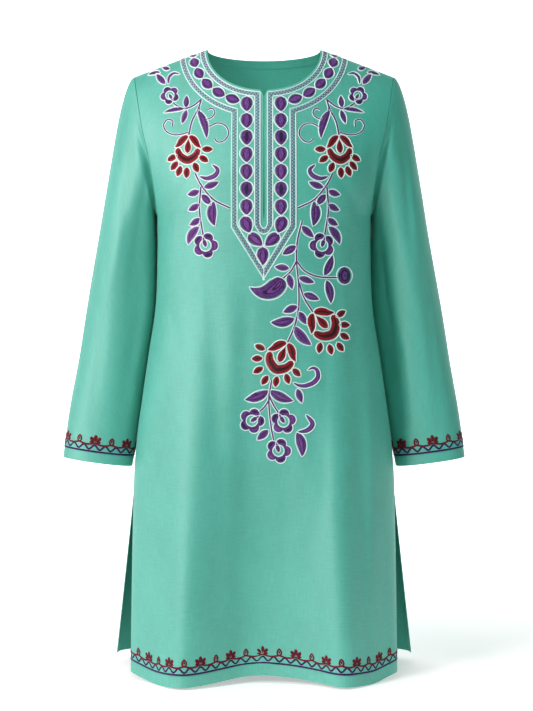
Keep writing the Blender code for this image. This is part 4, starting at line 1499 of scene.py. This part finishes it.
def sew(work, line):
    """A row of separate stitches along a line."""
    line = np.asarray(line, float)
    run = run_length(line)
    for start in np.arange(STITCH_START, run[-1] - STITCH, STITCH_PITCH):
        work.band(points_at(np.linspace(start, start + STITCH, 3), run, line),
                  STITCH_HALF_WIDTHS, STITCH_HEIGHT, STITCH_LIFT, across=2)


front_sewing, back_sewing, hem_sewing = Needlework(), Needlework(), Needlework()
sew(hem_sewing, [(hem_run[0] + 3.0, FRONT_HEM_ROW), (hem_run[-1] - 3.0, FRONT_HEM_ROW)])
hem_sewing.make("front_hem_stitches", hem_surface, MINT_THREAD, "thread_mint")
for way in (1.0, -1.0):
    slit = np.linspace(SLIT_TOP + 8.0, HEM + 14.0, 40)
    for work, side in ((front_sewing, "front"), (back_sewing, "back")):
        x = section_x(side, SLIT_PART, slit)
        sew(work, np.stack([x * way, slit], axis=1))
    sew(front_sewing, [(way * PLACKET_ROW, -80.0), (way * PLACKET_ROW, PLACKET_END + 2.0)])
back_x = section_x("back", HEM_END_PART, HEM + BACK_HEM_ROW)
sew(back_sewing, [(-back_x, HEM + BACK_HEM_ROW), (back_x, HEM + BACK_HEM_ROW)])
front_sewing.make("front_stitches", front_surface, MINT_THREAD, "thread_mint")


def strip_surface(x, z):
    """The strip's face inside the back neckline, and the direction it looks, to the front."""
    point, normal = cloth_at("back", x, z)
    return point - normal * (FACING_GAP + FACING), -normal


strip_sewing = Needlework()
for share in STRIP_ROWS:
    x, z = yoke_point("back", np.abs(facing_across) * 0.99, 1.0 - FACING_DEPTH * share)
    sew(strip_sewing, np.stack([np.copysign(x, facing_across), z], axis=1))
strip_sewing.make("strip_stitches", strip_surface, MINT_THREAD, "thread_mint")
back_sewing.make("back_stitches", lambda x, z: cloth_at("back", x, z), MINT_THREAD, "thread_mint")
for name, way in (("left", 1.0), ("right", -1.0)):
    cuff_sewing = Needlework()
    sew(cuff_sewing, [(0.0, FRONT_HEM_ROW), (cuff_run[-1] - 1.0, FRONT_HEM_ROW)])
    cuff_sewing.make("cuff_stitches_" + name, lambda along, above: cuff_surface(along, above, way),
                     MINT_THREAD, "thread_mint")


# Floor and backdrop: one plain pale sweep of paper, level just under the hem and curved up
# behind.  Sizes are in metres, depths from the middle of the tunic backwards.
FLOOR = -0.9215
FLOOR_HALF_WIDTH = 7.0
FLOOR_FRONT = -4.0
FLOOR_BACK = 3.0
SWEEP_RADIUS = 1.5
SWEEP_STEPS = 12
SWEEP_TOP = 7.0
PAPER = (0.96, 0.86, 0.87, 1.0)
# Painted light: the paper is given a glow of its own, standing in for studio light falling on it; where the
# glow starts and is full, and its colours on the way.
GLOW_FRONT = -0.5
GLOW_BACK = 1.5
GLOW = [(0.0, (0.0, 0.0, 0.0, 1.0)), (0.1, (0.43, 0.40, 0.40, 1.0)), (0.4, (0.45, 0.43, 0.43, 1.0)),
        (1.0, (0.85, 0.85, 0.85, 1.0))]

sweep_mesh = bpy.data.meshes.new("floor")
sweep_line = [(FLOOR_FRONT, FLOOR), (FLOOR_BACK, FLOOR)]
for i in range(1, SWEEP_STEPS + 1):
    turn = math.pi / 2 * i / SWEEP_STEPS
    rise = SWEEP_RADIUS * (1 - math.cos(turn))
    sweep_line.append((FLOOR_BACK + SWEEP_RADIUS * math.sin(turn), FLOOR + rise))
sweep_line.append((FLOOR_BACK + SWEEP_RADIUS, SWEEP_TOP))
sweep_points = [(x, y, z) for y, z in sweep_line for x in (-FLOOR_HALF_WIDTH, FLOOR_HALF_WIDTH)]
sweep_faces = [(2 * i, 2 * i + 1, 2 * i + 3, 2 * i + 2) for i in range(len(sweep_line) - 1)]
sweep_mesh.from_pydata(sweep_points, [], sweep_faces)
sweep_mesh.shade_smooth()
floor = put("floor", sweep_mesh)
paper, paper_surface, paper_shade = new_material("paper", 0.9)
paper_surface.inputs["Base Color"].default_value = PAPER
paper_surface.inputs["Emission Strength"].default_value = 1.0
# Painted light: it glows from just in front of the hem backwards, stronger further back, in place of the
# light that makes the sweep white.
paper_place = paper_shade.node("ShaderNodeTexCoord", out=3)
paper_depth = paper_shade.node("ShaderNodeSeparateXYZ", inputs={0: paper_place}, out=1)
glow = paper_shade.node("ShaderNodeMapRange", inputs={0: paper_depth, 1: GLOW_FRONT, 2: GLOW_BACK})
feed(paper_surface, "Emission Color", paper_shade.node("ShaderNodeValToRGB", {"stops": GLOW}, {0: glow}))
sweep_mesh.materials.append(paper)


# Light: a soft window from the left front with a weaker one beside it, a broad dim one from the
# right, two small ones that reach into the neck, and a pale sky.  What fills the shadows is tinted
# green, as it would be by light that the cotton itself throws back.
SKY = (0.45, 1.0, 0.92, 1.0)
SKY_STRENGTH = 0.14
BOUNCED = (0.32, 1.0, 0.92)


def window(name, place, aim, size, power, colour=(1.0, 1.0, 1.0)):
    """A square area light that looks from its place to a point."""
    light = bpy.data.lights.new(name, "AREA")
    light.shape = "SQUARE"
    light.size = size
    light.energy = power
    light.color = colour
    piece = put(name, light)
    piece.location = place
    piece.rotation_euler = (Vector(aim) - Vector(place)).to_track_quat("-Z", "Y").to_euler()


window("key_window", (-2.45, -2.35, 0.9), (0.0, 0.0, -0.4), 1.2, 70.0, (1.0, 0.98, 0.98))
window("side_window", (-3.2, -0.9, 0.3), (0.0, 0.0, -0.4), 1.2, 13.0)
window("fill_window", (1.9, -2.4, 0.4), (0.0, 0.0, -0.45), 2.2, 16.0, BOUNCED)
window("neck_window", (-0.2, -0.5, 1.2), (0.0, 0.08, -0.08), 0.5, 5.0)
window("inside_lamp", (0.0, -0.03, -0.16), (0.0, 0.09, -0.04), 0.07, 0.11)
world = bpy.data.worlds.new("sky")
bpy.context.scene.world = world
world.use_nodes = True
world.node_tree.nodes["Background"].inputs["Color"].default_value = SKY
world.node_tree.nodes["Background"].inputs["Strength"].default_value = SKY_STRENGTH
